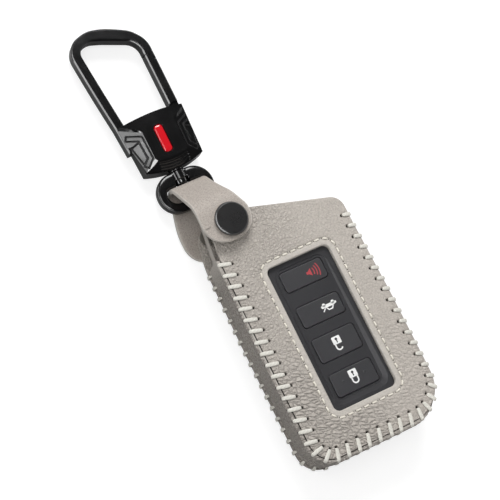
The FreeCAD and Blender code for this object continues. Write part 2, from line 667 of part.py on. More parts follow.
# Leaf spring in the slot, from the pocket's floor to the gate's inner face
spring_foot = pivot.y - slot_half + SPRING_GAP
spring_x = slot_left + SPRING_GAP + SPRING_THICK
spring_path = [V(spring_x, spring_foot), V(spring_x, pivot.y),
               V(gate_in - SPRING_GAP, pivot.y + GATE_SWEEP - HOOK_BAR / 2)]
spring = band_face(spring_path, [0, 4 * SPRING_THICK, 0], SPRING_THICK, Z)
spring.translate(V(0, 0, swivel_z - SPRING_WIDTH / 2))
save("gate_spring", spring.extrude(V(0, 0, SPRING_WIDTH)))

# Badge plate: bevelled slab pegged to the block, with a recess for the enamel bar
pegs = [disc(x, y, PEG_RADIUS, block_high - PEG_LENGTH, block_high) for x, y in peg_spots]
plate = bevelled.fuse(pegs).removeSplitter()
inlay_y = block_bottom + INLAY_RISE
recess = rounded_block(swivel_x, inlay_y, INLAY_WIDTH + 2 * FIT_GAP, INLAY_LENGTH + 2 * FIT_GAP,
                       INLAY_CORNER + FIT_GAP, plate_top - INLAY_DEPTH, plate_top)
save("badge_plate", plate.cut(recess))
save("badge_inlay", rounded_block(swivel_x, inlay_y, INLAY_WIDTH, INLAY_LENGTH, INLAY_CORNER,
                                  plate_top - INLAY_DEPTH, plate_top - INLAY_SINK))

# Remote: two shells, with the buttons in a field of the upper one that sinks towards the closed end
ceiling = remote_top - FIELD_DEPTH_LOW - FIELD_WALL
flange_top = ceiling - BUTTON_GAP
flange_bottom = flange_top - BUTTON_FLANGE
mat_top = flange_bottom - BUTTON_TRAVEL - BUTTON_GAP
mat_bottom = mat_top - KEYPAD_THICK
board_top = mat_bottom - SWITCH_HEIGHT
board_bottom = board_top - BOARD_THICK


def remote_block(inset, bottom, top):
    """Upright block of the remote's outline, drawn in by an inset all round."""
    return rounded_block(0, 0, REMOTE_WIDTH - 2 * inset, REMOTE_LENGTH - 2 * inset,
                         REMOTE_CORNER - inset, bottom, top)


def field_depth(y):
    share = (FIELD_Y + FIELD_LENGTH / 2 - y) / FIELD_LENGTH
    return FIELD_DEPTH_HIGH + (FIELD_DEPTH_LOW - FIELD_DEPTH_HIGH) * share


hollow = remote_block(SHELL_WALL, board_bottom, ceiling)
buttons = {}
for name, place, share in (("button_alarm", ALARM_PLACE, ALARM_SHARE),
                           ("button_trunk", TRUNK_PLACE, TRUNK_SHARE),
                           ("button_unlock", UNLOCK_PLACE, UNLOCK_SHARE),
                           ("button_lock", LOCK_PLACE, LOCK_SHARE)):
    buttons[name] = (FIELD_Y + place * FIELD_LENGTH, share * FIELD_LENGTH)
floor_corners = [p + V(0, 0, remote_top - field_depth(p.y))
                 for p in box_corners(FIELD_X, FIELD_Y, FIELD_WIDTH, FIELD_LENGTH)]
rim_corners = []
for p in floor_corners:
    away = V(math.copysign(1, p.x - FIELD_X), math.copysign(1, p.y - FIELD_Y))
    rim_corners.append(V(p.x, p.y, remote_top) + away * (FIELD_SLOPE * field_depth(p.y)))
sunk_low = bent_outline(floor_corners, [FIELD_CORNER] * 4)
sunk_high = bent_outline(rim_corners, [FIELD_CORNER + FIELD_SLOPE] * 4)
field = Part.makeLoft([sunk_low, sunk_high], True, True)
button_holes = [rounded_block(FIELD_X, y, BUTTON_WIDTH + 2 * BUTTON_GAP, length + 2 * BUTTON_GAP,
                              BUTTON_CORNER + BUTTON_GAP, ceiling, remote_top)
                for y, length in buttons.values()]
upper = remote_block(0, board_bottom, remote_top)
save("fob_top_shell", upper.cut([hollow, field] + button_holes))

# Buttons with a flange that keeps them under the shell
for name, (y, length) in buttons.items():
    key_top = remote_top - field_depth(y) + BUTTON_RISE
    cap = rounded_block(FIELD_X, y, BUTTON_WIDTH, length, BUTTON_CORNER, flange_top, key_top)
    rims = [e for e in cap.Edges if abs(e.CenterOfMass.z - key_top) < 1e-6]
    cap = cap.makeChamfer(BUTTON_EDGE, rims)
    flange = rounded_block(FIELD_X, y, BUTTON_WIDTH + 2 * BUTTON_FLANGE, length + 2 * BUTTON_FLANGE,
                           0, flange_bottom, flange_top)
    save(name, cap.fuse(flange).removeSplitter())

# Keypad mat on the switches, switches on the board
mat_width = FIELD_WIDTH + 2 * KEYPAD_MARGIN
mat_length = FIELD_LENGTH + 2 * KEYPAD_MARGIN
save("fob_keypad_mat", rounded_block(FIELD_X, FIELD_Y, mat_width, mat_length, FIELD_CORNER,
                                     mat_bottom, mat_top))
switches = [rounded_block(FIELD_X, y, SWITCH_SIZE, SWITCH_SIZE, 0, board_top, mat_bottom)
            for y, _ in buttons.values()]
save("fob_switches", Part.Compound(switches))
board_inset = SHELL_WALL + BOARD_MARGIN
save("fob_circuit_board", remote_block(board_inset, board_bottom, board_top))

# Lower shell: a tray whose rim carries the board, coin cell on its floor
floor_top = remote_bottom + SHELL_WALL
tray = remote_block(board_inset + BOARD_LEDGE, floor_top, board_bottom)
save("fob_bottom_shell", remote_block(0, remote_bottom, board_bottom).cut(tray))
cell_top = floor_top + CELL_THICK
save("fob_coin_cell", disc(0, CELL_Y, CELL_RADIUS, floor_top, cell_top))
contact_path = [V(0, CELL_Y, cell_top), V(0, CELL_Y + CONTACT_REACH / 2, cell_top),
                V(0, CELL_Y + CONTACT_REACH, board_bottom - CONTACT_THICK),
                V(0, CELL_Y + 2 * CONTACT_REACH, board_bottom - CONTACT_THICK)]
contact = band_face(contact_path, [0] * 4, CONTACT_THICK, V(1, 0, 0))
contact.translate(V(-CONTACT_WIDTH / 2, 0, 0))
save("fob_cell_contact", contact.extrude(V(CONTACT_WIDTH, 0, 0)))
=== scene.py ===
import math

import bmesh
import bpy
import numpy as np
from mathutils import Matrix, Vector


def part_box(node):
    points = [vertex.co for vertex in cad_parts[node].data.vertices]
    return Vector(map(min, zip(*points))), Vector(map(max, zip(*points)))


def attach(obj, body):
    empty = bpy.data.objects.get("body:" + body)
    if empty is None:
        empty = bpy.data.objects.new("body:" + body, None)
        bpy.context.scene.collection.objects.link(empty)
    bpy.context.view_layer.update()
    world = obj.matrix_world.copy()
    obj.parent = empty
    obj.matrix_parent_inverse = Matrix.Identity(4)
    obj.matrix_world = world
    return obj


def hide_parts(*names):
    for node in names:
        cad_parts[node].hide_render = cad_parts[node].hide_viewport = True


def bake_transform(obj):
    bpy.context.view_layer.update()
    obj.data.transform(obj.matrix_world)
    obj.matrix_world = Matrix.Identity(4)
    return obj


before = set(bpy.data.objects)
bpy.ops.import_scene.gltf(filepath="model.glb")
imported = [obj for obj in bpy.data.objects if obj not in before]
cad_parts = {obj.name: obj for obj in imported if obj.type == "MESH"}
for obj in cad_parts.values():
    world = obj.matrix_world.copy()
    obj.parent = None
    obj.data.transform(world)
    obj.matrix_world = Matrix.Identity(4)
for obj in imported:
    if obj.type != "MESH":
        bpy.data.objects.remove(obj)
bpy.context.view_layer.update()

# Remote's insides: a glass-fibre board with four dome switches under a rubber keypad mat,
# and a steel coin cell with its sprung contact. The two shells close them in.
MM = 0.001


class Wire:
    """A shader socket. Arithmetic on it adds Math nodes, and node() adds any other."""

    def __init__(self, tree, socket):
        self.tree = tree
        self.socket = socket

    def feed(self, made, sockets):
        for key, value in sockets.items():
            if isinstance(value, Wire):
                self.tree.links.new(value.socket, made.inputs[key])
            else:
                made.inputs[key].default_value = value

    def node(self, kind, settings, sockets, out=0):
        made = self.tree.nodes.new(kind)
        for key, value in settings.items():
            setattr(made, key, value)
        self.feed(made, sockets)
        return Wire(self.tree, made.outputs[out])

    def math(self, operation, a, b):
        return self.node("ShaderNodeMath", {"operation": operation}, {0: a, 1: b})

    def mark(self, name):
        """Value that the mesh carries at its points."""
        return self.node("ShaderNodeAttribute", {"attribute_name": name}, {}, "Fac")

    def axis(self, name):
        return self.node("ShaderNodeSeparateXYZ", {}, {0: self}, name)

    def __add__(self, other):
        return self.math("ADD", self, other)

    def __sub__(self, other):
        return self.math("SUBTRACT", self, other)

    def __rsub__(self, other):
        return self.math("SUBTRACT", other, self)

    def __mul__(self, other):
        return self.math("MULTIPLY", self, other)

    __radd__ = __add__
    __rmul__ = __mul__


def grain(place, size, detail=2.0):
    """Noise with lumps of about a size in mm."""
    return place.node("ShaderNodeTexNoise", {},
                      {"Vector": place, "Scale": 1 / (size * MM), "Detail": detail})


def ease(value, low, high):
    return value.node("ShaderNodeMapRange", {"interpolation_type": "SMOOTHSTEP"},
                      {"Value": value, "From Min": low, "From Max": high})


def shade(colour, level=1.0):
    return tuple(level * part for part in colour) + (1.0,)


def mixed(factor, first, second):
    return factor.node("ShaderNodeMix", {"data_type": "RGBA"}, {0: factor, 6: first, 7: second}, 2)


def raised(height, depth):
    """Bumped normal for a height from 0 to 1 that stands for a depth in mm."""
    return height.node("ShaderNodeBump", {}, {"Distance": depth * MM, "Height": height})


def coat(name, paint, **fixed):
    """Material from a paint, which gives the sockets that vary, and fixed values for others."""
    made = bpy.data.materials.new(name)
    made.use_nodes = True
    tree = made.node_tree
    place = Wire(tree, tree.nodes.new("ShaderNodeTexCoord").outputs["Object"])
    sockets = {key.replace("_", " "): value for key, value in fixed.items()}
    place.feed(tree.nodes["Principled BSDF"], sockets | paint(place))
    return made


SMUDGE = 9.0
SMUDGE_GLOSS = 0.16
GRAIN_GLOSS = 0.10


def grained(colour, size, contrast, roughness, depth):
    """Paint of one colour with fine grain in its shade, gloss and relief, and faint handling marks."""
    def paint(place):
        fine = grain(place, size)
        smudge = grain(place, SMUDGE, 4.0)
        return {"Base Color": mixed(fine, shade(colour, 1 - contrast), shade(colour, 1 + contrast)),
                "Roughness": roughness + GRAIN_GLOSS * (fine - 0.5) + SMUDGE_GLOSS * (smudge - 0.5),
                "Normal": raised(fine, depth)}
    return paint


def dress(node, material):
    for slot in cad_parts[node].material_slots:
        slot.material = material


BOARD_GREEN = (0.02, 0.16, 0.06)
MAT_GREY = (0.03, 0.03, 0.032)
STEEL = (0.55, 0.54, 0.52)
dress("fob_circuit_board", coat("board_laminate",
                                grained(BOARD_GREEN, size=0.8, contrast=0.3, roughness=0.4, depth=0.01)))
dress("fob_keypad_mat", coat("mat_rubber",
                             grained(MAT_GREY, size=0.2, contrast=0.2, roughness=0.7, depth=0.01)))
spring_steel = coat("spring_steel",
                    grained(STEEL, size=0.3, contrast=0.12, roughness=0.3, depth=0.004), Metallic=1.0)
for inner in ("fob_switches", "fob_coin_cell", "fob_cell_contact"):
    dress(inner, spring_steel)

# Remote's shells: two halves of charcoal plastic with a fine spark-eroded texture, clipped
# together round the board. The upper half has the sunk field that the buttons sit in.
SHELL_CHARCOAL = (0.024, 0.0235, 0.0265)
SHELL_EDGE = 0.3
SMOOTH_ANGLE = math.radians(38)
BEVEL_ANGLE = math.radians(24)
FLAT_ANGLE = math.radians(1.5)
WELD = 1e-6
shell_low, shell_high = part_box("fob_top_shell")
middle = np.array((shell_low + shell_high) / 2) / MM * (1, 1, 0)


def span(node):
    """Lowest and highest corner of a CAD node, in mm about the remote's centre."""
    return [np.array(corner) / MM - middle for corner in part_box(node)]


def footprint(node):
    """Centre and size of a CAD node, seen from above."""
    low, high = span(node)
    return (low + high)[:2] / 2, (high - low)[:2]


def shape_of(form):
    """Points and faces of a form, which is then freed."""
    form.verts.index_update()
    points = np.array([v.co for v in form.verts])
    faces = [[v.index for v in face.verts] for face in form.faces]
    form.free()
    return points, faces


def broken_edges(node, width):
    """A CAD node's form with its edges rounded over."""
    form = bmesh.new()
    form.from_mesh(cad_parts[node].data)
    bmesh.ops.remove_doubles(form, verts=form.verts, dist=WELD)
    bmesh.ops.dissolve_limit(form, angle_limit=FLAT_ANGLE, verts=form.verts, edges=form.edges)
    hard = [e for e in form.edges if len(e.link_faces) == 2 and e.calc_face_angle() > BEVEL_ANGLE]
    bmesh.ops.bevel(form, geom=hard, offset=width * MM, segments=3, profile=0.5, affect="EDGES",
                    clamp_overlap=True)
    points, faces = shape_of(form)
    return points / MM - middle, faces


def placed(name, data):
    made = bpy.data.objects.new(name, data)
    bpy.context.scene.collection.objects.link(made)
    return made


def piece(name, body, slot, material, nodes, *shapes, marks=None):
    """One object from shapes given in mm about the remote's centre, standing for CAD nodes."""
    points, faces, start = [], [], 0
    for shape_points, shape_faces in shapes:
        points.append(shape_points)
        faces += [[start + i for i in face] for face in shape_faces]
        start += len(shape_points)
    mesh = bpy.data.meshes.new(name)
    mesh.from_pydata(((np.vstack(points) + middle) * MM).tolist(), [], faces)
    form = bmesh.new()
    form.from_mesh(mesh)
    bmesh.ops.recalc_face_normals(form, faces=form.faces)
    form.to_mesh(mesh)
    form.free()
    mesh.shade_smooth()
    mesh.set_sharp_from_angle(angle=SMOOTH_ANGLE)
    for mark, values in (marks or {}).items():
        mesh.attributes.new(mark, "FLOAT", "POINT").data.foreach_set("value", np.ravel(values))
    mesh.materials.append(material)
    made = placed(name, mesh)
    if body:
        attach(made, body)
    if nodes:
        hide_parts(*nodes)
    return made


def level_faces(made):
    """Lets flat faces keep their own shading beside rounded edges."""
    made.modifiers.new("level_faces", "WEIGHTED_NORMAL").keep_sharp = True


def edged(name, body, slot, material, node, width):
    """Piece of a CAD node's own form with its edges rounded over."""
    level_faces(piece(name, body, slot, material, [node], broken_edges(node, width)))


shell_plastic = coat("shell_plastic",
                     grained(SHELL_CHARCOAL, size=0.16, contrast=0.12, roughness=0.46, depth=0.008),
                     Specular_IOR_Level=0.4)
edged("fob_upper_shell", "cover", "plastic_shell", shell_plastic, "fob_top_shell", SHELL_EDGE)
dress("fob_bottom_shell", shell_plastic)

# Buttons: four hard caps in the same charcoal, moulded a little smoother, each with a flange
# that keeps it under the shell. Their pictograms are printed on in white and red ink.
BUTTON_CHARCOAL = (0.036, 0.0355, 0.039)
BUTTON_CORNER = 1.2
BUTTON_EDGE = 0.35
BUTTON_FLANGE = 0.8
BUMP_RADIUS = 0.42
BUMP_HEIGHT = 0.16
BUMP_SINK = 0.01
BUMP_RISE = 0.5
BUMPS_AT = (-4.0, 4.2)
BUMP_TILTS = np.radians([0, 25, 50, 72, 86])
BUMP_SIDES = 20
INK_THICK = 0.02
INK_WHITE = (0.86, 0.86, 0.85)
INK_RED = (0.44, 0.045, 0.055)
ROUND_STEPS = 6
SHARP_CORNER = 0.01


def unit(vector):
    return vector / np.linalg.norm(vector, axis=-1, keepdims=True)


def rounded(corners, radii, closed=True):
    """Points along a track whose corners are rounded by radii."""
    corners = np.asarray(corners, float)
    count = len(corners)
    track = []
    for i, (corner, radius) in enumerate(zip(corners, radii)):
        if radius == 0 or (not closed and i in (0, count - 1)):
            track.append(corner[None])
            continue
        before = unit(corners[i - 1] - corner)
        after = unit(corners[(i + 1) % count] - corner)
        half = math.acos(before @ after) / 2
        centre = corner + unit(before + after) * radius / math.sin(half)
        reach = radius / math.tan(half)
        start = corner + before * reach - centre
        stop = corner + after * reach - centre
        sweep = math.pi - 2 * half
        turns = np.linspace(0, 1, 2 * ROUND_STEPS + 1)[:, None]
        arc = np.sin((1 - turns) * sweep) * start + np.sin(turns * sweep) * stop
        track.append(centre + arc / math.sin(sweep))
    return np.vstack(track)


def box_track(centre, size, corner):
    """Rounded rectangle about a centre, anticlockwise from its lower left."""
    signs = np.array([(-1, -1), (1, -1), (1, 1), (-1, 1)])
    return rounded(np.asarray(centre) + signs * np.asarray(size) / 2, [max(corner, SHARP_CORNER)] * 4)


def at_height(track, height):
    return np.column_stack([track, np.full(len(track), height)])


def grid(rows, ring=False, closed=True):
    """Faces over rows of points. Rows are loops if closed, and the last meets the first in a ring."""
    rows = np.asarray(rows, float)
    count, width = rows.shape[:2]
    index = np.arange(count * width).reshape(count, width).tolist()
    faces = []
    for a in range(count if ring else count - 1):
        b = (a + 1) % count
        for c in range(width if closed else width - 1):
            d = (c + 1) % width
            faces.append((index[a][c], index[a][d], index[b][d], index[b][c]))
    if closed and not ring:
        faces += [index[0][::-1], index[-1]]
    return rows.reshape(-1, 3), faces


def slab(track, low, high):
    return grid([at_height(track, low), at_height(track, high)])


def ways(turns):
    """Directions at angles in the plan."""
    return np.column_stack([np.cos(turns), np.sin(turns)])


def arc_band(centre, radius, width, start, stop):
    """Outline of a band along an arc between two angles in degrees."""
    way = ways(np.radians(np.linspace(start, stop, 4 * ROUND_STEPS)))
    return np.vstack([centre + way * (radius + width / 2), (centre + way * (radius - width / 2))[::-1]])


def circle(sides):
    return ways(np.linspace(0, 2 * math.pi, sides, endpoint=False))


def quarter(steps):
    """Angles from level to upright."""
    return np.radians(np.linspace(0, 90, steps))


def lathe(profile, centre, sides):
    """Turned form from (radius, height) points about an upright axis."""
    return grid([at_height(np.asarray(centre) + circle(sides) * radius, z) for radius, z in profile])


def speaker():
    """Horn with three sound waves, towards the button's right."""
    horn = np.array([(1.1, -0.45), (1.8, -0.45), (2.9, -1.35), (2.9, 1.35), (1.8, 0.45), (1.1, 0.45)])
    waves = [arc_band((1.0, 0), radius, 0.36, -turn, turn)
             for radius, turn in ((2.9, 24), (3.9, 26), (4.9, 27))]
    return [horn] + waves


def open_boot_car():
    """Side view of a saloon with its boot lid up, wheels towards the strap."""
    body = rounded([(0.5, 0.95), (0.4, 0.05), (2.0, -0.1), (4.7, -0.15), (6.2, 0.25), (6.2, 0.95)],
                   [0.3, 0.3, 0.3, 0.5, 0.3, 0.3])
    roof = rounded([(1.9, -0.05), (2.6, -1.25), (4.2, -1.25), (5.0, -0.05), (4.55, -0.05), (3.95, -0.85),
                    (2.85, -0.85), (2.35, -0.05)], [0, 0.3, 0.3, 0, 0, 0.2, 0.2, 0])
    lid = np.array([(1.5, -0.1), (0.45, -1.05), (0.75, -1.3), (1.8, -0.3)])
    wheels = [box_track((x, 1.0), (1.2, 1.2), 0.6) for x in (1.6, 5.0)]
    return [body, roof, lid] + wheels


def padlock(lift, shackle_stop):
    """Padlock body with a shackle towards the closed end, shut if its bow is a full half turn."""
    body = box_track((0.2, lift), (3.1, 2.7), 0.35)
    foot = lift - 1.35
    legs = [box_track((x, foot - 0.45), (0.5, 1.3), 0.1) for x in (-0.85, 1.25)]
    bow = arc_band((0.2, foot - 1.0), 1.05, 0.5, 180, shackle_stop)
    return [body, legs[0], bow] + (legs[1:] if shackle_stop >= 360 else [])


def keyhole(lift):
    return [box_track((0.2, lift + 0.4), (0.9, 0.9), 0.45), box_track((0.2, lift - 0.3), (0.4, 1.2), 0.1)]


button_plastic = coat("button_plastic",
                      grained(BUTTON_CHARCOAL, size=0.2, contrast=0.10, roughness=0.42, depth=0.005),
                      Specular_IOR_Level=0.4)
white_ink = coat("white_ink", grained(INK_WHITE, size=0.25, contrast=0.03, roughness=0.5, depth=0.002))
red_ink = coat("red_ink", grained(INK_RED, size=0.25, contrast=0.08, roughness=0.5, depth=0.002))
UNLOCK_LIFT = 1.1
LOCK_LIFT = 1.6
pictograms = {"alarm": (speaker(), [], red_ink),
              "trunk": (open_boot_car(), [], white_ink),
              "unlock": (padlock(UNLOCK_LIFT, 335), keyhole(UNLOCK_LIFT), white_ink),
              "lock": (padlock(LOCK_LIFT, 360), keyhole(LOCK_LIFT), white_ink)}
for key, (prints, holes, ink) in pictograms.items():
    low, high = span("button_" + key)
    centre, flange = footprint("button_" + key)
    cap = flange - 2 * BUTTON_FLANGE
    shoulder = low[2] + BUTTON_FLANGE
    levels = [(flange, 0, low[2]), (flange, 0, shoulder), (cap, BUTTON_CORNER, shoulder)]
    for tilt in quarter(ROUND_STEPS):
        inset, drop = BUTTON_EDGE * (1 - math.cos(tilt)), BUTTON_EDGE * (1 - math.sin(tilt))
        levels.append((cap - 2 * inset, BUTTON_CORNER - inset, high[2] - drop))
    shapes = [grid([at_height(box_track(centre, size, corner), z) for size, corner, z in levels])]
    if key == "lock":
        swelling = [(BUMP_RADIUS * math.cos(t), high[2] - BUMP_SINK + BUMP_HEIGHT * math.sin(t))
                    for t in BUMP_TILTS]
        shapes += [lathe(swelling, centre + (x, BUMP_RISE), BUMP_SIDES) for x in BUMPS_AT]
    level_faces(piece("key_cap_" + key, key + "_key", "plastic_button", button_plastic, ["button_" + key],
                      *shapes))
    ink_top = high[2] + INK_THICK
    piece("print_" + key, key + "_key", "plastic_button", ink, [],
          *[slab(track + centre, high[2] - INK_THICK, ink_top) for track in prints])
    if holes:
        piece("keyhole_" + key, key + "_key", "plastic_button", button_plastic, [],
              *[slab(track + centre, high[2], ink_top + INK_THICK) for track in holes])

# Back panel: 1.4 mm pebbled cowhide, cut to the cover's outline, with shade painted on its edge along the
# joint's gap. It is whip stitched edge to edge with the gusset and riveted to the strap's rear end.
LEATHER_TAUPE = (0.498, 0.457, 0.414)
# Pale tone of cut edges and pressed borders, also painted on the gusset's tongues as light.
PALE_HIDE_AND_LIGHT = (0.60, 0.575, 0.53)
# Near black, painted into punched holes and the joint's gap as shade.
HOLE_SHADE = (0.010, 0.009, 0.008)
PEBBLE = 1.2
PEBBLE_DEPTH = 0.46
LARGE_PEBBLE = 2.1
PATCH = 16.0
PORE = 0.2
LUMP = 2.6
SMOOTH_START = -2.0
SMOOTH_STOP = 18.0
SMOOTHNESS = 0.6
STREAK = 0.5
STREAK_PULL = 4.0
STREAK_TURN = math.radians(-26.6)
FLECK = 0.55
FLECK_DARK = 0.30
WRINKLE = 1.25
WRINKLE_PULL = 2.1
WRINKLE_TOP = 12.0
WRINKLE_FOOT = -16.0
CASE_CORNER = 8.0
MOUTH_CORNER = 5.0
EAR_CORNER = 7.0
MOUTH_MARGIN = 1.9
MOUTH_RISE = 14.0
SEAM_DRAW = 0.4
LEFT_SPREAD = 0.8
RIGHT_SPREAD = 1.1
RIGHT_CORNER = 13.5
RIGHT_BEND = 2.0
MOUTH_DRAW = 1.3
LEFT_BEND = 8.0
LEFT_LEAN = 0.5
SIDE_BEND = 60.0
EAR_DRAW = 3.0
EAR_DROP = 0.3 * EAR_DRAW
EAR_BEND = 25.0
BACK_OUT = 0.7
BACK_IN = 1.4
BACK_EAR_DRAW = 3.2
BACK_BEND = 36.7
LEATHER_EDGE = 0.5
WHIP_PITCH = 4.1
WHIP_INSET = 3.2
WHIP_INSET_RIGHT = 2.45
WHIP_TUCK = 0.6
WHIP_LAG = math.tan(math.radians(14.0))
SEAM_TOP = 33.2
SEAM_FINE = 40
HOLE_SHIFT = 0.45
HOLE_RADIUS = 0.40
HOLE_DEPTH = 1.1
HOLE_FALL = 8
GROOVE = 0.26
GROOVE_WIDTH = 0.75
WAVE = (5.1, 7.3)
WAVE_START = (1.3, 0.4)
WAVE_DEPTH = 0.06
# Shade painted on the panels' outer edge along the joint's gap: where it stops short of the right side, and
# how strong it is on the back.
GAP_SHADE_END = 5.0
BACK_GAP_SHADE = 0.25
BACK_HEART = 0.02
PANEL_POINTS = 1200
BACK_ROWS = 60


def leather(colour, pebble, depth, crease_shade=0.36):
    """Paint of tumbled cowhide: pebbles of two sizes with creases between them, pores and uneven dye.
    The creases are painted darker as shade. Marks paint shade into punched holes and the joint's gap,
    paint light up the gusset's tongues, and pale pressed borders, cut edges and a stretch of the gusset's
    upper edge."""
    def paint(place):
        def cells(where, size):
            return where.node("ShaderNodeTexVoronoi", {"feature": "DISTANCE_TO_EDGE"},
                              {"Vector": where, "Scale": 1 / (size * MM), "Randomness": 1.0}, "Distance")

        def drawn(where, stretch):
            return where.node("ShaderNodeMapping", {"vector_type": "TEXTURE"},
                              {"Vector": where, "Rotation": (0, 0, STREAK_TURN), "Scale": stretch})

        drift = place.node("ShaderNodeTexNoise", {},
                           {"Vector": place, "Scale": 0.5 / (pebble * MM)}, "Color")
        bent = place.node("ShaderNodeVectorMath", {"operation": "MULTIPLY_ADD"},
                          {0: drift, 1: (0.6 * pebble * MM,) * 3, 2: place})
        small, large = cells(bent, pebble), cells(bent, LARGE_PEBBLE * pebble)
        wrinkle = cells(drawn(bent, (WRINKLE_PULL, 1, 1)), WRINKLE)
        streaks = grain(drawn(place, (1, STREAK_PULL, 1)), STREAK)
        patch, pores = grain(place, PATCH, 3.0), grain(place, PORE, 3.0)
        tumbled = ease(patch, 0.42, 0.58)
        fleck = ease(grain(place, FLECK), 0.44, 0.64) * FLECK_DARK
        crease, fold = ease(small, 0.0, 0.20), ease(large, 0.0, 0.08)
        smooth = ease(place.axis("X"), SMOOTH_START * MM, SMOOTH_STOP * MM) * SMOOTHNESS
        slack = ease(place.axis("Y"), (WRINKLE_TOP + middle[1]) * MM, (WRINKLE_FOOT + middle[1]) * MM)
        painted_shade, press_and_light, pale_edge = (place.mark(name) for name in ("painted_shade", "press_and_light", "pale_edge"))
        loose = (1 - 0.8 * press_and_light) * (1 - pale_edge)
        pebbles = 0.8 * ease(small, 0.0, 0.48) + 0.25 * ease(large, 0.0, 0.30) * tumbled
        pebbles = (1 - 0.8 * slack) * pebbles + slack * ease(wrinkle, 0.0, 0.34)
        relief = (1 - smooth) * pebbles + 0.6 * smooth * streaks + 0.25 * grain(place, LUMP)
        hide = mixed(patch, shade(colour, 0.97), shade(colour, 1.05))
        # Painted shade: the creases between pebbles and the wrinkles are darkened in colour.
        painted_creases = (1 - 0.7 * slack) * ((1 - crease) * crease_shade + (1 - fold) * tumbled * 0.20)
        painted_creases = (1 - smooth) * loose * (painted_creases + slack * (1 - ease(wrinkle, 0.0, 0.11)) * 0.75)
        dyed_and_shaded = mixed(painted_creases + fleck, hide, shade(colour, 0.5))
        tone = mixed(press_and_light * 0.30 + pale_edge * 0.65, dyed_and_shaded, shade(PALE_HIDE_AND_LIGHT))
        # Painted shade: holes and the joint's gap are darkened to near black.
        return {"Base Color": mixed(painted_shade, tone, shade(HOLE_SHADE)),
                "Roughness": 0.56 + 0.16 * (pores - 0.5) + 0.10 * (1 - crease),
                "Normal": raised(loose * relief + 0.10 * pores, depth)}
    return paint


def run_along(track):
    """Distance from a track's start to each of its points."""
    return np.concatenate([[0], np.cumsum(np.linalg.norm(np.diff(track, axis=0), axis=1))])


def evenly(track, count, closed=True):
    """A number of points at equal distances along a track."""
    track = np.vstack([track, track[:1]]) if closed else np.asarray(track)
    run = run_along(track)
    marks = np.linspace(0, run[-1], count, endpoint=not closed)
    return np.column_stack([np.interp(marks, run, axis) for axis in track.T])


def step(distance, width):
    """0 below zero, rising to 1 at a width."""
    return np.clip(distance / width, 0, 1)


def panel_rows(inner, outer, low, high, face_rows, edge):
    """Rows over a flat piece: underside, rolled outer edge, upper face and rolled inner edge."""
    reach = outer - inner
    ahead = unit(reach)
    tilts = quarter(ROUND_STEPS)
    profile = [(edge, 0, low), (-edge, 1, low)]
    profile += [(edge * (math.sin(t) - 1), 1, low + edge * (1 - math.cos(t))) for t in tilts[1:]]
    profile += [(edge * (math.cos(t) - 1), 1, high - edge * (1 - math.sin(t))) for t in tilts]
    profile += [(edge * (1 - 2 * u), u, high) for u in np.linspace(1, 0, face_rows)[1:-1]]
    profile += [(edge * (1 - math.sin(t)), 0, high - edge * (1 - math.cos(t))) for t in tilts]
    profile += [(edge * (1 - math.cos(t)), 0, low + edge * (1 - math.sin(t))) for t in tilts[:-1]]
    return np.array([at_height(inner + reach * share + ahead * offset, z) for offset, share, z in profile])


panel_low, panel_high = span("back_panel")
left_joint = panel_high[0] + LEFT_SPREAD
right_joint = panel_high[0] + RIGHT_SPREAD
joint_end = panel_low[1] + SEAM_DRAW
mouth_low = shell_high[1] / MM - middle[1] + MOUTH_MARGIN


def panel_outline(left, right, low, ear_draw, bend):
    """Outline of a panel whose sides draw in towards the mouth, the left one up to the ear."""
    corners = [(-left, low), (right, low), (right, RIGHT_BEND), (right - MOUTH_DRAW, mouth_low),
               (ear_draw - left, mouth_low + MOUTH_RISE - EAR_DROP), (LEFT_LEAN - left, bend),
               (-left, LEFT_BEND)]
    radii = [CASE_CORNER, RIGHT_CORNER, SIDE_BEND, MOUTH_CORNER, EAR_CORNER, EAR_BEND, SIDE_BEND]
    return evenly(rounded(corners, radii), PANEL_POINTS)


def joint_track(left_top, right_top):
    """Line of the joint from its left end over the closed end to its right end, up to two heights."""
    lean = MOUTH_DRAW * (right_top - RIGHT_BEND) / (mouth_low - RIGHT_BEND)
    left_end = LEFT_LEAN - left_joint
    corners = [(left_end, left_top), (left_end, SEAM_TOP), (-left_joint, LEFT_BEND),
               (-left_joint, joint_end), (right_joint, joint_end), (right_joint, RIGHT_BEND),
               (right_joint - lean, right_top)]
    radii = [0, SIDE_BEND, SIDE_BEND, CASE_CORNER, RIGHT_CORNER, SIDE_BEND, 0]
    start = 1 if left_top == SEAM_TOP else 0
    return rounded(corners[start:], radii[start:], closed=False)


seam_track = joint_track(SEAM_TOP, SEAM_TOP)
whip_count = round(run_along(seam_track)[-1] / WHIP_PITCH) + 1
whip_feet = evenly(seam_track, whip_count, closed=False)
fine_seam = evenly(seam_track, SEAM_FINE * (whip_count - 1) + 1, closed=False)
whip_ahead = unit(np.gradient(fine_seam, axis=0)[::SEAM_FINE])
whip_out = np.column_stack([whip_ahead[:, 1], -whip_ahead[:, 0]])
tucked = step(whip_out[:, 0], 1)
whip_inset = WHIP_INSET + (WHIP_INSET_RIGHT - WHIP_INSET) * tucked


def on_whip(across):
    """Points of all whip stitches at a distance across the joint, in the plane of the panel."""
    share = whip_inset / WHIP_INSET if across < 0 else 1 - WHIP_TUCK * tucked
    across = (across * share)[:, None]
    return whip_feet + across * whip_out - (across + WHIP_INSET) * WHIP_LAG * whip_ahead


def distance_to_runs(points, starts, stops):
    """Distance of each point to the nearest of the straight runs between starts and stops."""
    nearest = np.full(len(points), np.inf)
    for start, stop in zip(starts, stops):
        run = stop - start
        share = step((points - start) @ run, max(run @ run, WELD))
        nearest = np.minimum(nearest, np.linalg.norm(points - start - share[:, None] * run, axis=1))
    return nearest


def punched(points, holes, radius=HOLE_RADIUS, fall=HOLE_FALL):
    """1 in holes of a radius, falling to 0 round them."""
    return 1 / (1 + (distance_to_runs(points, holes, holes) / radius) ** fall)


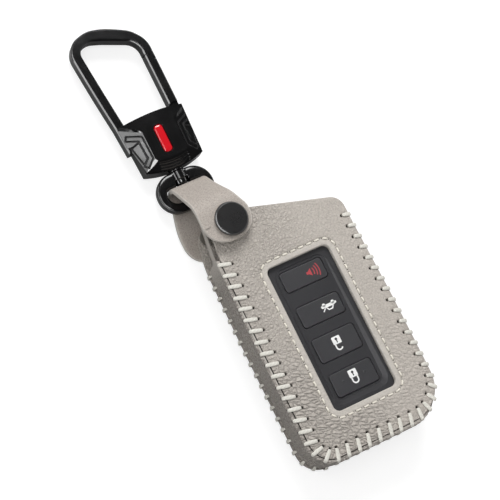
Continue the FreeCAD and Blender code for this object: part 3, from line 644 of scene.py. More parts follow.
def sewn_face(rows, low, high, gap_shade):
    """Presses whip stitches and their punched holes into a panel's upper face, and marks where shade is
    painted:
    in the holes, and on the outer edge along the joint's gap.
    """
    flat = rows.reshape(-1, 3)
    points = flat[:, :2]
    upper = step(flat[:, 2] - low, high - low)
    thread = distance_to_runs(points, on_whip(-WHIP_INSET), on_whip(0.0))
    painted_shade = punched(points, on_whip(-WHIP_INSET - HOLE_SHIFT))
    waves = np.sin(points / WAVE + WAVE_START).prod(axis=1)
    outer = slice(2, 2 * ROUND_STEPS - 2)
    x, y = rows[outer, :, 0], rows[outer, :, 1]
    # Painted shade on the outer rolled edge along the joint's gap, stopping short of the right side where
    # the front rolls over the gusset.
    gap_shaded = np.zeros(rows.shape[:2])
    gap_shaded[outer] = (y < SEAM_TOP + WHIP_PITCH / 2) & (x < right_joint - GAP_SHADE_END)
    grooves = GROOVE * np.exp(-(thread / GROOVE_WIDTH) ** 2)
    flat[:, 2] -= upper * (grooves + HOLE_DEPTH * painted_shade + WAVE_DEPTH * (1 + waves))
    return np.maximum(painted_shade * (upper > 0.5), gap_shade * gap_shaded.ravel())


pebbled = coat("pebbled_leather", leather(LEATHER_TAUPE, PEBBLE, PEBBLE_DEPTH), Specular_IOR_Level=0.3)
back_outline = panel_outline(left_joint + BACK_OUT, right_joint - BACK_IN, joint_end - BACK_OUT,
                             BACK_EAR_DRAW, BACK_BEND)
heart = back_outline.mean(axis=0)
back_rows = panel_rows(heart + (back_outline - heart) * BACK_HEART, back_outline,
                       panel_low[2], panel_high[2], BACK_ROWS, LEATHER_EDGE)
back_shade_marks = sewn_face(back_rows, panel_low[2], panel_high[2], BACK_GAP_SHADE)
back_rows[..., 2] = panel_low[2] + panel_high[2] - back_rows[..., 2]
piece("back_leather", "cover", "leather_pebbled", pebbled, ["back_panel"], grid(back_rows, ring=True),
      marks={"painted_shade": back_shade_marks})

# Gusset: a strip of the same hide round the left side, the closed end and the right side, painted darker as
# shade, and paler up its tongues as light. It stands on the back, its upper edge beside the front's edge or
# tucked under it, and ends in free tongues.
GUSSET_STEP = 0.3
GUSSET_SIDES = 120
GUSSET_THICK = 1.4
GUSSET_GAP = 0.08
GUSSET_BOW = 0.3
GUSSET_SHADE = 0.84
GUSSET_CREASE_SHADE = 0.85
SHOULDER = 0.6
SHOULDER_SINK = 0.12
FOOT_OUT = 0.2
TUCK_IN = 0.15
RAW_LINE = 0.93
FOOT_HOLE = 0.7
FOOT_REACH = 1.5
TONGUE_RIGHT = 3.4
TONGUE_INSET = 4.9
TONGUE_EASE = 2.0
TONGUE_LEAN = 0.12
TONGUE_STEP = 0.7
TONGUE_SKIVE = 0.6
TONGUE_HIDDEN = 5.0
TONGUE_ROUND = 2.5
TIP_LEAST = 0.02
TIP_HEIGHT = 0.55
ROLL_WIDTH = 2.8
ROLL_DEPTH = 1.1
ROLL_END = 1.2
BEND_CREASE = 0.12
BEND_PITCH = 2.6
BEND_INSET = 2.3
BEND_REACH = 7.0
# Stretch of the left side where the gusset's upper edge is painted paler, fading in and out.
PALE_TOP = 24.0
PALE_TOP_FADE = 6.0
PALE_FOOT = -16.0
PALE_FOOT_FADE = 10.0
# Light painted up the gusset's tongues: where it starts below the seam's top and how far it rises.
TONGUE_LIGHT_START = 6.0
TONGUE_LIGHT_REACH = 9.0


def section(width, thick, edge, count):
    """Loop round a flat strip with rounded edges: (across, up) offsets at equal distances."""
    return evenly(box_track((0, 0), (width, thick), edge), count)


def swept(track, across, loops, closed=False):
    """Rows of loops carried along a track, with their first axis as near to across as can be."""
    track = np.asarray(track, float)
    ahead = np.roll(track, -1, 0) - np.roll(track, 1, 0) if closed else np.gradient(track, axis=0)
    ahead = unit(ahead)
    up = unit(np.cross(ahead, np.broadcast_to(across, track.shape)))
    side = np.cross(up, ahead)
    loops = np.broadcast_to(loops, (len(track),) + np.shape(loops)[-2:])
    return track[:, None] + loops[..., :1] * side[:, None] + loops[..., 1:] * up[:, None]


def rolled_down(points):
    """How far the front's right border bends down to the gusset at points of the plan."""
    share = np.clip((points[..., 0] - right_joint + ROLL_WIDTH) / ROLL_WIDTH, 0, ROLL_END)
    sewn = step(SEAM_TOP + WHIP_PITCH - points[..., 1], 2 * WHIP_PITCH)
    return ROLL_DEPTH * share ** 2 * sewn


def back_spread(out):
    """From the front's edge to the back's edge, along outward directions."""
    tuck = step(out[..., :1], 1)
    return (BACK_OUT * (1 - tuck) - BACK_IN * tuck) * out


def soft_step(distance, width):
    """As step, with a slow start and end."""
    share = step(distance, width)
    return share * share * (3 - 2 * share)


front_low, front_high = span("front_panel")
gusset_high = span("side_gusset")[1]
case_middle = (panel_low[2] + front_high[2]) / 2
panel_thick = panel_high[2] - panel_low[2]
gusset_track = joint_track(gusset_high[1] + TONGUE_HIDDEN, SEAM_TOP + TONGUE_RIGHT)
gusset_track = evenly(gusset_track, round(run_along(gusset_track)[-1] / GUSSET_STEP), closed=False)
along = gusset_track[:, 1]
under = step(unit(np.gradient(gusset_track, axis=0))[:, 1], 1)
free = soft_step(along - SEAM_TOP - WHIP_PITCH / 2, TONGUE_EASE)
from_start = np.arange(len(gusset_track)) * GUSSET_STEP
from_tip = np.minimum(from_start, from_start[::-1])
tip_round = np.sqrt(1 - (1 - np.clip(from_tip / TONGUE_ROUND, TIP_LEAST, 1)) ** 2)
upper_edge = front_high[2] - SHOULDER_SINK - under * (panel_thick + SHOULDER_SINK)
upper_edge = upper_edge - rolled_down(gusset_track) - TONGUE_INSET * free
lower_edge = panel_high[2] + (TONGUE_INSET - panel_thick) * free
heights = (upper_edge - lower_edge) / 2 * (TIP_HEIGHT + (1 - TIP_HEIGHT) * tip_round)
loops = np.array([section(2 * height, GUSSET_THICK, SHOULDER, GUSSET_SIDES) for height in heights])
level_share = loops[..., 0] / heights[:, None]
raw = (level_share > RAW_LINE) & (loops[..., 1] < 0)
loops[..., 1] *= 1 - TONGUE_SKIVE * free[:, None]
from_bend = np.linalg.norm(gusset_track - (BEND_INSET - left_joint, joint_end + BEND_INSET), axis=1)
creases = BEND_CREASE * np.exp(-(from_bend / BEND_REACH) ** 2)[:, None]
lean = TONGUE_LEAN * np.maximum(along - SEAM_TOP, 0) + TONGUE_STEP * free
top_out = (1 - under) * GUSSET_GAP - under * (GUSSET_THICK + TUCK_IN) - lean + GUSSET_THICK / 2
foot_out = (1 - under) * (FOOT_OUT - GUSSET_THICK) - under * (BACK_IN + GUSSET_THICK) - lean
foot_out = foot_out + GUSSET_THICK / 2
loops[..., 1] += foot_out[:, None] + (top_out - foot_out)[:, None] * (1 + level_share) / 2
loops[..., 1] += GUSSET_BOW * (1 - level_share ** 2)
loops[..., 1] += creases * np.sin(2 * math.pi * loops[..., 0] / BEND_PITCH) * (1 - level_share ** 4)
loops[..., 0] += ((upper_edge + lower_edge) / 2 - case_middle)[:, None]
gusset_rows = swept(at_height(gusset_track, case_middle), (0, 0, 1), loops)
foot_holes = np.column_stack([on_whip(FOOT_REACH), front_high[2] - FOOT_HOLE - rolled_down(whip_feet)])
# The band at the upper edge is painted paler along a stretch of the left side, fading out at both ends.
pale_line = step(PALE_TOP - along, PALE_TOP_FADE) * step(along - PALE_FOOT, PALE_FOOT_FADE)
pale_line *= gusset_track[:, 0] < 0
# Painted light: the gusset is paler, and smoother, from just below the seam's top up its tongues.
lit_tongue = step(along - SEAM_TOP + TONGUE_LIGHT_START, TONGUE_LIGHT_REACH)
# Painted shade: the gusset's hide is a darker copy of the panels' hide, with deeper painted shade in its
# creases.
shaded_gusset_paint = leather(shade(LEATHER_TAUPE, GUSSET_SHADE)[:3], PEBBLE, PEBBLE_DEPTH, GUSSET_CREASE_SHADE)
shaded_gusset_hide = coat("gusset_leather", shaded_gusset_paint, Specular_IOR_Level=0.3)
# Painted shade in the holes where the whip stitches go into the gusset.
piece("gusset_leather", "cover", "leather_pebbled", shaded_gusset_hide, ["side_gusset"], grid(gusset_rows),
      marks={"painted_shade": punched(gusset_rows.reshape(-1, 3), foot_holes), "pale_edge": raw * pale_line[:, None],
             "press_and_light": np.broadcast_to(lit_tongue[:, None], raw.shape)})

# Window facing: a thin split of smooth leather sewn behind the window to stiffen its edge.
# Only its cut edge shows, inside the window.
WINDOW_CORNER = 2.2
OUTLINE_STEPS = 4000
FACING_WIDTH = 5.0
FACING_EDGE = 0.1
FACING_POINTS = 360
FACING_ROWS = 4
FACING_GRAIN = 0.5
FACING_DEPTH = 0.03
FACING_GREY = (0.42, 0.39, 0.355)


def window_side(outline, centre, outer):
    """For each outer point, the outline's point in the same direction from the centre."""
    dense = evenly(outline, OUTLINE_STEPS) - centre
    angles = np.arctan2(dense[:, 1], dense[:, 0])
    order = np.argsort(angles)
    seek = np.arctan2(*(outer - centre).T[::-1])
    reach = np.interp(seek, angles[order], np.linalg.norm(dense, axis=1)[order], period=2 * math.pi)
    return centre + reach[:, None] * ways(seek)


facing_low, facing_high = span("window_facing")
window_centre, facing_size = footprint("window_facing")
window_size = facing_size - 2 * FACING_WIDTH
window_track = box_track(window_centre, window_size, WINDOW_CORNER)
facing_outer = box_track(window_centre, facing_size, WINDOW_CORNER + FACING_WIDTH)
facing_outer = evenly(facing_outer, FACING_POINTS)
facing_rows = panel_rows(window_side(window_track, window_centre, facing_outer), facing_outer,
                         facing_low[2], facing_high[2], FACING_ROWS, FACING_EDGE)
split_hide = coat("facing_leather", leather(FACING_GREY, FACING_GRAIN, FACING_DEPTH),
                  Specular_IOR_Level=0.25)
piece("facing_leather", "cover", "leather_facing", split_hide, ["window_facing"],
      grid(facing_rows, ring=True))

# Front panel: the same 1.4 mm pebbled hide with the button window cut out. The window's border is
# pressed flat, the panel's right border bends down to the gusset, and its edge is punched and sewn.
FRONT_ROWS = 96
LINE_OFFSET = 2.3
LINE_GROOVE = 0.22
LINE_SPREAD = 0.4
LINE_PITCH = 3.1
LINE_STITCH = 1.75
LINE_STEPS = 2000
NEEDLE_HOLE = 0.26
NEEDLE_GAP = 0.12
NEEDLE_FALL = 6
NEEDLE_SHADE = 0.85
PRESS_DEPTH = 0.10
PRESS_MARGIN = 0.5
PRESS_EASE = 0.18
CUT_REACH = 0.2
CUT_BELOW = 0.25
line_track = box_track(window_centre, window_size + 2 * LINE_OFFSET, WINDOW_CORNER + LINE_OFFSET)
line_track = evenly(line_track, LINE_STEPS)
line_count = round(run_along(line_track)[-1] / LINE_PITCH)


def on_line(shares):
    """Points of all running stitches at a share of their half length, from -1 to 1."""
    stops = np.arange(line_count)[:, None] + np.asarray(shares) * LINE_STITCH / LINE_PITCH / 2
    return line_track[np.round(stops / line_count * LINE_STEPS).astype(int) % LINE_STEPS]


def outside_box(points, centre, size, corner):
    """Distance of points outside a rounded rectangle, negative inside it."""
    beyond = np.abs(points - centre) - size / 2 + corner
    return np.linalg.norm(np.maximum(beyond, 0), axis=-1) + np.minimum(beyond.max(-1), 0) - corner


front_outline = panel_outline(left_joint, right_joint, joint_end, EAR_DRAW, SEAM_TOP)
front_rows = panel_rows(window_side(window_track, window_centre, front_outline), front_outline,
                        front_low[2], front_high[2], FRONT_ROWS, LEATHER_EDGE)
front_shade_marks = sewn_face(front_rows, front_low[2], front_high[2], 1.0)
front_points = front_rows.reshape(-1, 3)
from_window = outside_box(front_points[:, :2], window_centre, window_size, WINDOW_CORNER)
pressed = 1 / (1 + np.exp((from_window - LINE_OFFSET - PRESS_MARGIN) / PRESS_EASE))
needle_ends = 1 + 2 * NEEDLE_GAP / LINE_STITCH
needle_holes = on_line([-needle_ends, needle_ends]).reshape(-1, 2)
needle = punched(front_points[:, :2], needle_holes, NEEDLE_HOLE, NEEDLE_FALL)
upper_part = step(front_points[:, 2] - front_low[2], front_high[2] - front_low[2])
line_groove = LINE_GROOVE * np.exp(-((from_window - LINE_OFFSET) / LINE_SPREAD) ** 2)
front_points[:, 2] -= upper_part * (PRESS_DEPTH * pressed + NEEDLE_HOLE * needle + line_groove)
cut_edge = (from_window < CUT_REACH) & (front_points[:, 2] < front_high[2] - CUT_BELOW)
front_points[:, 2] -= rolled_down(front_points)
# Painted shade in the running stitch's needle holes.
front_shade_marks = np.maximum(front_shade_marks, NEEDLE_SHADE * needle * (upper_part > 0.5))
piece("front_leather", "cover", "leather_pebbled", pebbled, ["front_panel"], grid(front_rows, ring=True),
      marks={"painted_shade": front_shade_marks, "press_and_light": pressed, "pale_edge": cut_edge.astype(float)})

# Whip stitches: flat waxed polyester thread in cream, sewn by hand. Each stitch comes out of a
# punched hole, slants over the joint, swells where it is free and goes into the gusset's shoulder.
THREAD_CREAM = (0.70, 0.68, 0.62)
THREAD_WIDTH = 1.4
THREAD_THICK = 0.5
THREAD_ROWS = 30
THREAD_SIDES = 14
THREAD_TAPER = 0.4
SWELL_POWER = 2.6
LAY_SKEW = 0.10
LAY_SLIP = 0.06
PLY_TWIST = 5.0
PLY_DEPTH = 0.05
FUZZ = 0.12
WHIP_BENDS = [(-WHIP_INSET, -0.9), (-WHIP_INSET, 0.14), (0.85, 0.16), (1.35, -0.45), (0.9, -1.1)]
WHIP_RADII = [0, 0.45, 0.6, 0.25, 0]
BACK_BENDS = [(-WHIP_INSET, -0.9), (-WHIP_INSET, 0.14), (0.1, 0.2), (0.4, -0.3), (0.4, -2.3), (-0.5, -3.3)]
BACK_RADII = [0, 0.45, 0.25, 0.2, 0.5, 0]
lay_of_hand = np.random.default_rng(7)


def waxed(colour, plies):
    """Paint of waxed thread: twisted plies that run slantwise round it, read from its marks."""
    def paint(place):
        run, turn = place.mark("run"), place.mark("turn")
        ply = run.math("SINE", run * PLY_TWIST + turn * plies, 0.0) * 0.5 + 0.5
        fuzz = grain(place, FUZZ, 3.0)
        tone = mixed(fuzz * 0.7 + ply * 0.3, shade(colour, 0.82), shade(colour, 1.10))
        return {"Base Color": tone, "Roughness": 0.5 + 0.2 * (fuzz - 0.5),
                "Normal": raised(ply * 0.5 + fuzz * 0.5, PLY_DEPTH)}
    return paint


def thread_marks(rows, count):
    """Run along the thread in mm and turn round it in radians, for a number of like rows."""
    run = run_along(rows.mean(1))
    turn = np.linspace(0, 2 * math.pi, rows.shape[1], endpoint=False)
    one = np.meshgrid(run, turn, indexing="ij")
    return {"run": np.tile(one[0].ravel(), count), "turn": np.tile(one[1].ravel(), count)}


def oval(width, thick, count):
    return circle(count) * (width / 2, thick / 2)


swell = 1 - np.abs(np.linspace(-1, 1, THREAD_ROWS)) ** SWELL_POWER
swell = THREAD_TAPER + (1 - THREAD_TAPER) * swell
whip_loops = oval(THREAD_WIDTH, THREAD_THICK, THREAD_SIDES) * swell[:, None, None]
waxed_thread = coat("waxed_thread", waxed(THREAD_CREAM, 3.0), Specular_IOR_Level=0.4)


def whip_shapes(edge_height, way, bends, radii):
    """All whip stitches over one joint, on the front or the back."""
    whip_line = evenly(rounded(bends, radii, closed=False), THREAD_ROWS, closed=False)
    shapes = []
    for foot, ahead, out, inset, tuck in zip(whip_feet, whip_ahead, whip_out, whip_inset, tucked):
        skew = WHIP_LAG * lay_of_hand.normal(1.0, LAY_SKEW)
        slip = lay_of_hand.normal(0.0, LAY_SLIP)
        outer = 1 - WHIP_TUCK * tuck if way > 0 else 1
        across = whip_line[:, 0] * np.where(whip_line[:, 0] < 0, inset / WHIP_INSET, outer)
        lag = slip - (across + WHIP_INSET) * skew
        plan = foot + across[:, None] * out + lag[:, None] * ahead
        height = edge_height + way * whip_line[:, 1]
        if way > 0:
            height = height - rolled_down(plan)
        else:
            plan = plan + back_spread(out)
        side = np.append(unit(ahead + skew * out), 0)
        shapes.append(swept(np.column_stack([plan, height]), side, whip_loops))
    return shapes


for side, stitches in (("front", whip_shapes(front_high[2], 1, WHIP_BENDS, WHIP_RADII)),
                       ("back", whip_shapes(panel_low[2], -1, BACK_BENDS, BACK_RADII))):
    piece(side + "_whip_stitches", "cover", "thread_waxed", waxed_thread, [side + "_edge_stitching"],
          *[grid(rows) for rows in stitches], marks=thread_marks(stitches[0], len(stitches)))

# Running stitch: fine cream thread, machine sewn round the window through panel and facing.
# Each stitch dips into its needle holes at both ends.
LINE_CREAM = (0.80, 0.76, 0.67)
LINE_WIDTH = 0.6
LINE_THICK = 0.42
LINE_ROWS = 12
LINE_SIDES = 10
LINE_LIFT = 0.24
LINE_DIP = 0.42
dash = np.linspace(-1, 1, LINE_ROWS)
dash_height = front_high[2] - LINE_GROOVE + LINE_LIFT - LINE_DIP * dash ** 4
dash_loop = oval(LINE_WIDTH, LINE_THICK, LINE_SIDES)
dashes = []
for plan in on_line(dash):
    track = np.column_stack([plan, dash_height])
    dashes.append(swept(track, np.cross((0, 0, 1), unit(track[-1] - track[0])), dash_loop))
fine_thread = coat("fine_thread", waxed(LINE_CREAM, 2.0), Specular_IOR_Level=0.4)
piece("window_running_stitch", "cover", "thread_fine", fine_thread, ["window_stitching"],
      *[grid(rows) for rows in dashes], marks=thread_marks(dashes[0], len(dashes)))

# Strap: one band of smooth 1.6 mm leather with round ends. It is riveted under the back, goes
# up round the ring's bar in a fold and comes over the front to the snap, with raw pale edges.
STRAP_TAUPE = (0.462, 0.415, 0.374)
STRAP_THICK = 1.6
STRAP_EDGE = 0.42
EDGE_SHARE = 0.4
STRAP_STEP = 0.7
STRAP_SIDES = 64
END_SHIFT = (-1.8, 2.0)
END_SPREAD = 1.0
END_POWER = 2.3
TAIL_SHIFT = (0.0, 1.2)
TAIL_SPREAD = 1.2
FOLD_WIDTH = 13.4
FOLD_SHIFT = 0.6
FOLD_BEND = 3.0
FOLD_TOP_BEND = 3.5
FOLD_TOP_HEIGHT = 8.2
SLOPE_BEND = 6.0
SLOPE_GAP = 3.2
SIDE_STEPS = 2000
END_TURNS = np.radians(np.linspace(6, 90, 22))
END_LEAST = 1e-4
DRAW_EARLY = 1.5
CURVE_EARLY = 5.0
CURVE_SHORT = 1.0
PALE_WIDTH = 0.45
PALE_EASE = 0.3
STRAP_GRAIN = 0.55
STRAP_DEPTH = 0.05
flap_low, flap_high = span("strap_front_half")
tail_low = span("strap_rear_half")[0]
snap_at, cap_size = footprint("snap_cap")
rivet_at, rivet_size = footprint("rivet_cap")
front_radius = flap_high[0] - snap_at[0] + END_SPREAD
rear_radius = rivet_at[0] - tail_low[0] + TAIL_SPREAD
front_end = snap_at + END_SHIFT
rear_end = rivet_at + TAIL_SHIFT
fold_half = FOLD_WIDTH / 2
fold_x = rivet_at[0] + FOLD_SHIFT
slope_start = snap_at[1] + footprint("snap_socket")[1][0] / 2 + SLOPE_GAP
fold_inside = flap_high[1] - STRAP_THICK
strap_bottom = span("snap_socket")[1][2]
strap_side = rounded([(front_end[1] - front_radius, strap_bottom), (slope_start, strap_bottom),
                      (fold_inside, FOLD_TOP_HEIGHT), (fold_inside, panel_low[2]),
                      (rear_end[1] - rear_radius, panel_low[2])],
                     [0, SLOPE_BEND, FOLD_TOP_BEND, FOLD_BEND, 0], closed=False)
side_length = run_along(strap_side)[-1]
strap_side = evenly(strap_side, SIDE_STEPS, closed=False)
side_ahead = unit(np.gradient(strap_side, axis=0))
strap_side = strap_side + np.column_stack([-side_ahead[:, 1], side_ahead[:, 0]]) * STRAP_THICK / 2
side_run = np.linspace(0, side_length, SIDE_STEPS)
stations = np.concatenate([front_radius * (1 - np.cos(END_TURNS)),
                           np.arange(front_radius + STRAP_STEP, side_length - rear_radius, STRAP_STEP),
                           side_length - rear_radius * (1 - np.cos(END_TURNS[::-1]))])
strap_y = np.interp(stations, side_run, strap_side[:, 0])
strap_z = np.interp(stations, side_run, strap_side[:, 1])
on_front = strap_z > FOLD_TOP_HEIGHT
end_half = np.where(on_front, front_radius, rear_radius)
end_x = np.where(on_front, front_end[0], rear_end[0])
from_end = np.where(on_front, stations, side_length - stations)
short_of = np.maximum(1 - from_end / end_half, 0)
round_half = end_half * np.maximum(1 - short_of ** END_POWER, END_LEAST) ** (1 / END_POWER)
draw_start = np.where(on_front, front_end[1], rear_end[1]) - DRAW_EARLY
straight = 1 - (1 - step(strap_y - draw_start, fold_inside - draw_start)) ** 2
curve_start = slope_start - CURVE_EARLY
curved = soft_step(strap_y - curve_start, fold_inside - CURVE_SHORT - curve_start)
left_edge = end_x - round_half + (fold_x - fold_half - end_x + end_half) * curved
right_edge = end_x + round_half + (fold_x + fold_half - end_x - end_half) * straight
strap_half = (right_edge - left_edge) / 2
strap_x = (right_edge + left_edge) / 2
strap_loops = np.array([section(2 * half, STRAP_THICK, min(STRAP_EDGE, EDGE_SHARE * half), STRAP_SIDES)
                        for half in strap_half])
strap_rows = swept(np.column_stack([strap_x, strap_y, strap_z]), (1, 0, 0), strap_loops)
strap_cut = step(np.abs(strap_loops[..., 0]) - strap_half[:, None] + PALE_WIDTH, PALE_EASE)
strap_hide = coat("strap_leather", leather(STRAP_TAUPE, STRAP_GRAIN, STRAP_DEPTH), Specular_IOR_Level=0.28)
strap = piece("strap_leather", None, "leather_strap", strap_hide, ["strap_front_half", "strap_rear_half"],
              grid(strap_rows), marks={"pale_edge": strap_cut})
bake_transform(strap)

# Snap and rivet: pressed brass caps in black lacquer. The snap's cap and socket are set in the
# strap, its stud and post in the front panel, and the rivet goes through strap and back panel.
LACQUER_BLACK = (0.014, 0.0135, 0.014)
PLATING = (0.42, 0.41, 0.39)
CAP_EDGE = 0.6
CAP_SOFT = 0.08
CAP_ROUND = 0.03
CAP_SPREAD = 0.5
CAP_SHIFT = (-0.55, -0.4)
CAP_FOOT = [(0.5, -0.4), (0.25, 0.1), (0, 0.5)]
CAP_TOP = [(0, CAP_EDGE + CAP_SOFT), (CAP_ROUND, CAP_EDGE), (CAP_EDGE, CAP_ROUND), (CAP_EDGE + CAP_SOFT, 0)]
LATHE_SIDES = 96
CORE = 0.3


def turned(radius, foot, lower, top, upper):
    """Profile of a turned form from insets and rises at its foot, and insets and drops at its top."""
    side = [(radius - inset, foot + rise) for inset, rise in lower]
    side += [(radius - inset, top - drop) for inset, drop in upper]
    return [(CORE, side[0][1])] + side + [(CORE, side[-1][1])]


cap_radius = cap_size[0] / 2 + CAP_SPREAD
cap_top = span("snap_cap")[1][2]
cap_profile = turned(cap_radius, strap_bottom + STRAP_THICK, CAP_FOOT, cap_top, CAP_TOP)
lacquer = coat("black_lacquer",
               grained(LACQUER_BLACK, size=0.12, contrast=0.10, roughness=0.30, depth=0.0005),
               Specular_IOR_Level=0.4, Coat_Weight=1.0, Coat_Roughness=0.08)
level_faces(piece("snap_cap_pressing", "strap_flap", "snap_black", lacquer, ["snap_cap"],
                  lathe(cap_profile, snap_at + CAP_SHIFT, LATHE_SIDES)))
rivet_radius = rivet_size[0] / 2
rivet_top = span("rivet_cap")[1][2]
tilts = quarter(2 * ROUND_STEPS)
rivet_profile = [(CORE, rivet_top), (rivet_radius, rivet_top)]
rivet_profile += [(rivet_radius * math.cos(t), rivet_top * (1 - math.sin(t))) for t in tilts[1:-1]]
piece("rivet_cap_pressing", "cover", "snap_black", lacquer, ["rivet_cap"],
      lathe(rivet_profile, rivet_at, LATHE_SIDES))
plated = coat("snap_plating",
              grained(PLATING, size=0.3, contrast=0.08, roughness=0.28, depth=0.002), Metallic=1.0)
for inner in ("snap_socket", "snap_stud", "snap_post", "rivet_post"):
    dress(inner, plated)

# Ring and swivel: a cast shackle in gloss black plate, bored for the post that carries the
# carabiner. The post's head turns inside the ring, and a washer keeps the block off it.
GLOSS_BLACK = (0.0035, 0.0035, 0.0038)
RING_BAR = 3.3
RING_THICK = 3.6
RING_CORNER = 6.9
RING_EDGE = 0.85
RING_ROWS = 200
RING_SIDES = 36
RING_BOSS = 2.6
BOSS_FOOT = [(0.4, -0.1), (0, 0.3)]
YOKE = 1.9
YOKE_SLOT = 2.35
YOKE_EDGE = 0.3
YOKE_REACH = 9.0
YOKE_FADE = 3.0
HEAD_RADIUS = 2.25
HEAD_HEIGHT = 1.6
HEAD_DROP = 0.6
HEAD_FOOT = [(0.7, 0), (0.2, 0.25), (0, 0.8)]
CHAMFER = [(0, 0.3), (0.3, 0)]
STEM_RADIUS = 1.3
WASHER_EDGE = 0.12
ring_low, ring_high = span("swivel_ring")
ring_middle = (ring_low + ring_high) / 2
ring_reach = (ring_high - ring_low)[:2] - RING_BAR
ring_track = evenly(box_track(ring_middle[:2], ring_reach, RING_CORNER - RING_BAR / 2), RING_ROWS)
ring_loops = np.tile(section(RING_THICK, RING_BAR, RING_EDGE, RING_SIDES), (RING_ROWS, 1, 1))
beside = np.abs(ring_track[:, 0] - ring_middle[0])
yoke = YOKE * step(beside - YOKE_SLOT, YOKE_EDGE) * step(YOKE_REACH - beside, YOKE_FADE)
yoke[ring_track[:, 1] < ring_middle[1]] = 0
ring_loops[..., 1] -= yoke[:, None] * step(RING_BAR / 2 - ring_loops[..., 1], RING_BAR)
ring_rows = swept(at_height(ring_track, ring_middle[2]), (0, 0, 1), ring_loops, closed=True)


def along_post(profile):
    """Turned form from (radius, y) points about the swivel's axis."""
    points, faces = lathe(profile, (ring_middle[0], ring_middle[2]), LATHE_SIDES)
    return points[:, [0, 2, 1]], faces


boss = along_post(turned(RING_BOSS, ring_high[1] - RING_BAR, BOSS_FOOT, ring_high[1], CHAMFER))
gloss = grained(GLOSS_BLACK, size=0.5, contrast=0.15, roughness=0.17, depth=0.001)
gloss_plate = coat("gloss_black_plate", gloss, Specular_IOR_Level=0.6)
piece("ring_casting", "ring", "metal_black", gloss_plate, ["swivel_ring"], grid(ring_rows, ring=True), boss)
post_low, post_high = span("swivel_post")
head_low, head_high = post_low[1] - HEAD_DROP, post_low[1] + HEAD_HEIGHT
post_profile = turned(HEAD_RADIUS, head_low, HEAD_FOOT, head_high, CHAMFER)[:-1]
post_profile += [(STEM_RADIUS, head_high), (STEM_RADIUS, post_high[1]), (CORE, post_high[1])]
piece("post_turning", "carabiner", "metal_black", gloss_plate, ["swivel_post"], along_post(post_profile))
edged("washer_turning", "carabiner", "metal_black", gloss_plate, "swivel_washer", WASHER_EDGE)

# Carabiner: hook and block are one zinc casting in gloss black plate. The gate turns on a
# riveted pin in the block's slot, and a leaf spring pushes it shut against the nose.
FRAME_EDGE = 0.28
GATE_EDGE = 0.2
LEAF_EDGE = 0.03
HOOK_BAR = 3.4
HOOK_RUN = np.array((0.94, -0.341))
HOOK_OUT = np.array((0.341, 0.94))
HOOK_BOW = 1.0
HOOK_EASE = 1.15
TOP_DEPTH = 1.0
LEG_BOW = 1.0
LEG_START = 6.0
BOW_CUTS = 12
CUT_WELD = 1e-4


def cut_across(shape, planes):
    """A shape with further edges where planes cross it, each given by a point and a direction."""
    form = bmesh.new()
    corners = [form.verts.new(point) for point in shape[0]]
    for face in shape[1]:
        form.faces.new([corners[i] for i in face])
    for spot, way in planes:
        bmesh.ops.bisect_plane(form, geom=form.verts[:] + form.edges[:] + form.faces[:], dist=CUT_WELD,
                               plane_co=spot, plane_no=way)
    return shape_of(form)


hook = broken_edges("carabiner_frame", FRAME_EDGE)
block_end = span("badge_plate")[1][1]
hook_end = span("carabiner_frame")[1][1]
over_bar = hook[0][:, :2] @ HOOK_OUT
hook_high = over_bar.max()
top_bar = hook[0][over_bar > hook_high - TOP_DEPTH, :2] @ HOOK_RUN
top_start, top_stop = top_bar.min(), top_bar.max()
cuts = [(tuple(HOOK_RUN * s) + (0,), tuple(HOOK_RUN) + (0,))
        for s in np.linspace(top_start, top_stop, BOW_CUTS)]
cuts += [((0, y, 0), (0, 1, 0)) for y in np.linspace(block_end, hook_end, BOW_CUTS)[:-2]]
hook_points, hook_faces = cut_across(hook, cuts)
along_top, over_top = hook_points[:, :2] @ HOOK_RUN, hook_points[:, :2] @ HOOK_OUT
from_middle = (along_top - (top_start + top_stop) / 2) / (HOOK_EASE * (top_stop - top_start) / 2)
top_rise = step(over_top - hook_high + HOOK_BAR, HOOK_BAR) * step(1 - from_middle ** 2, 1)
leg_side = step(ring_middle[0] - LEG_START - hook_points[:, 0], LEG_START)
leg_height = step(hook_points[:, 1] - block_end, hook_end - block_end)
hook_points[:, :2] += HOOK_BOW * top_rise[:, None] * HOOK_OUT
hook_points[:, 0] -= LEG_BOW * leg_side * (1 - (1 - leg_height) ** 2)
level_faces(piece("carabiner_casting", "carabiner", "metal_black", gloss_plate, ["carabiner_frame"],
                  (hook_points, hook_faces)))
edged("gate_casting", "gate_arm", "metal_black", gloss_plate, "gate", GATE_EDGE)
dress("gate_pin", plated)
leaf = piece("gate_spring_leaf", None, "steel_plain", spring_steel, ["gate_spring"],
             broken_edges("gate_spring", LEAF_EDGE))
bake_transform(leaf)

# Badge plate: a cast plate pegged on the block, with a raised middle that falls to the rim in
# facets. Grooves outline a bracket and a bar on each side facet, and the foot has three ridges.
PLATE_ROWS = 220
PLATE_THICK = 2.0
PLATE_RIM = 0.4
PLATE_LEAST = 0.05
PLATE_BOW = 1.9
PLATE_CROWN = 1.0
PLATE_TAPER = 0.8
PLATE_FLARE = 1.1
FLARE_END = 0.5
PLATE_WING = 0.9
WING_START = 0.56
WING_EASE = 0.03
PLATE_CUT = 1.1
CUT_START = 0.79
PLATEAU_HALF = 6.2
PLATEAU_FOOT = 3.5
CORNER_FACET = (6.25, 5.0)
CORNER_WAY = (0.832, -0.555)
CORNER_SLOPE = 0.30
BRACKET = [(12.05, 15.3), (7.8, 13.35), (7.6, 5.85), (9.75, 3.7)]
BRACKET_HALF = 0.64
SIDE_BAR = [(10.1, 5.0), (11.6, 11.4), (8.9, 12.2), (8.45, 6.4)]
RELIEF_GROOVE = 0.5
RELIEF_DEPTH = 0.4
GROOVE_DULL = 0.55
RELIEF_EDGE = 0.12
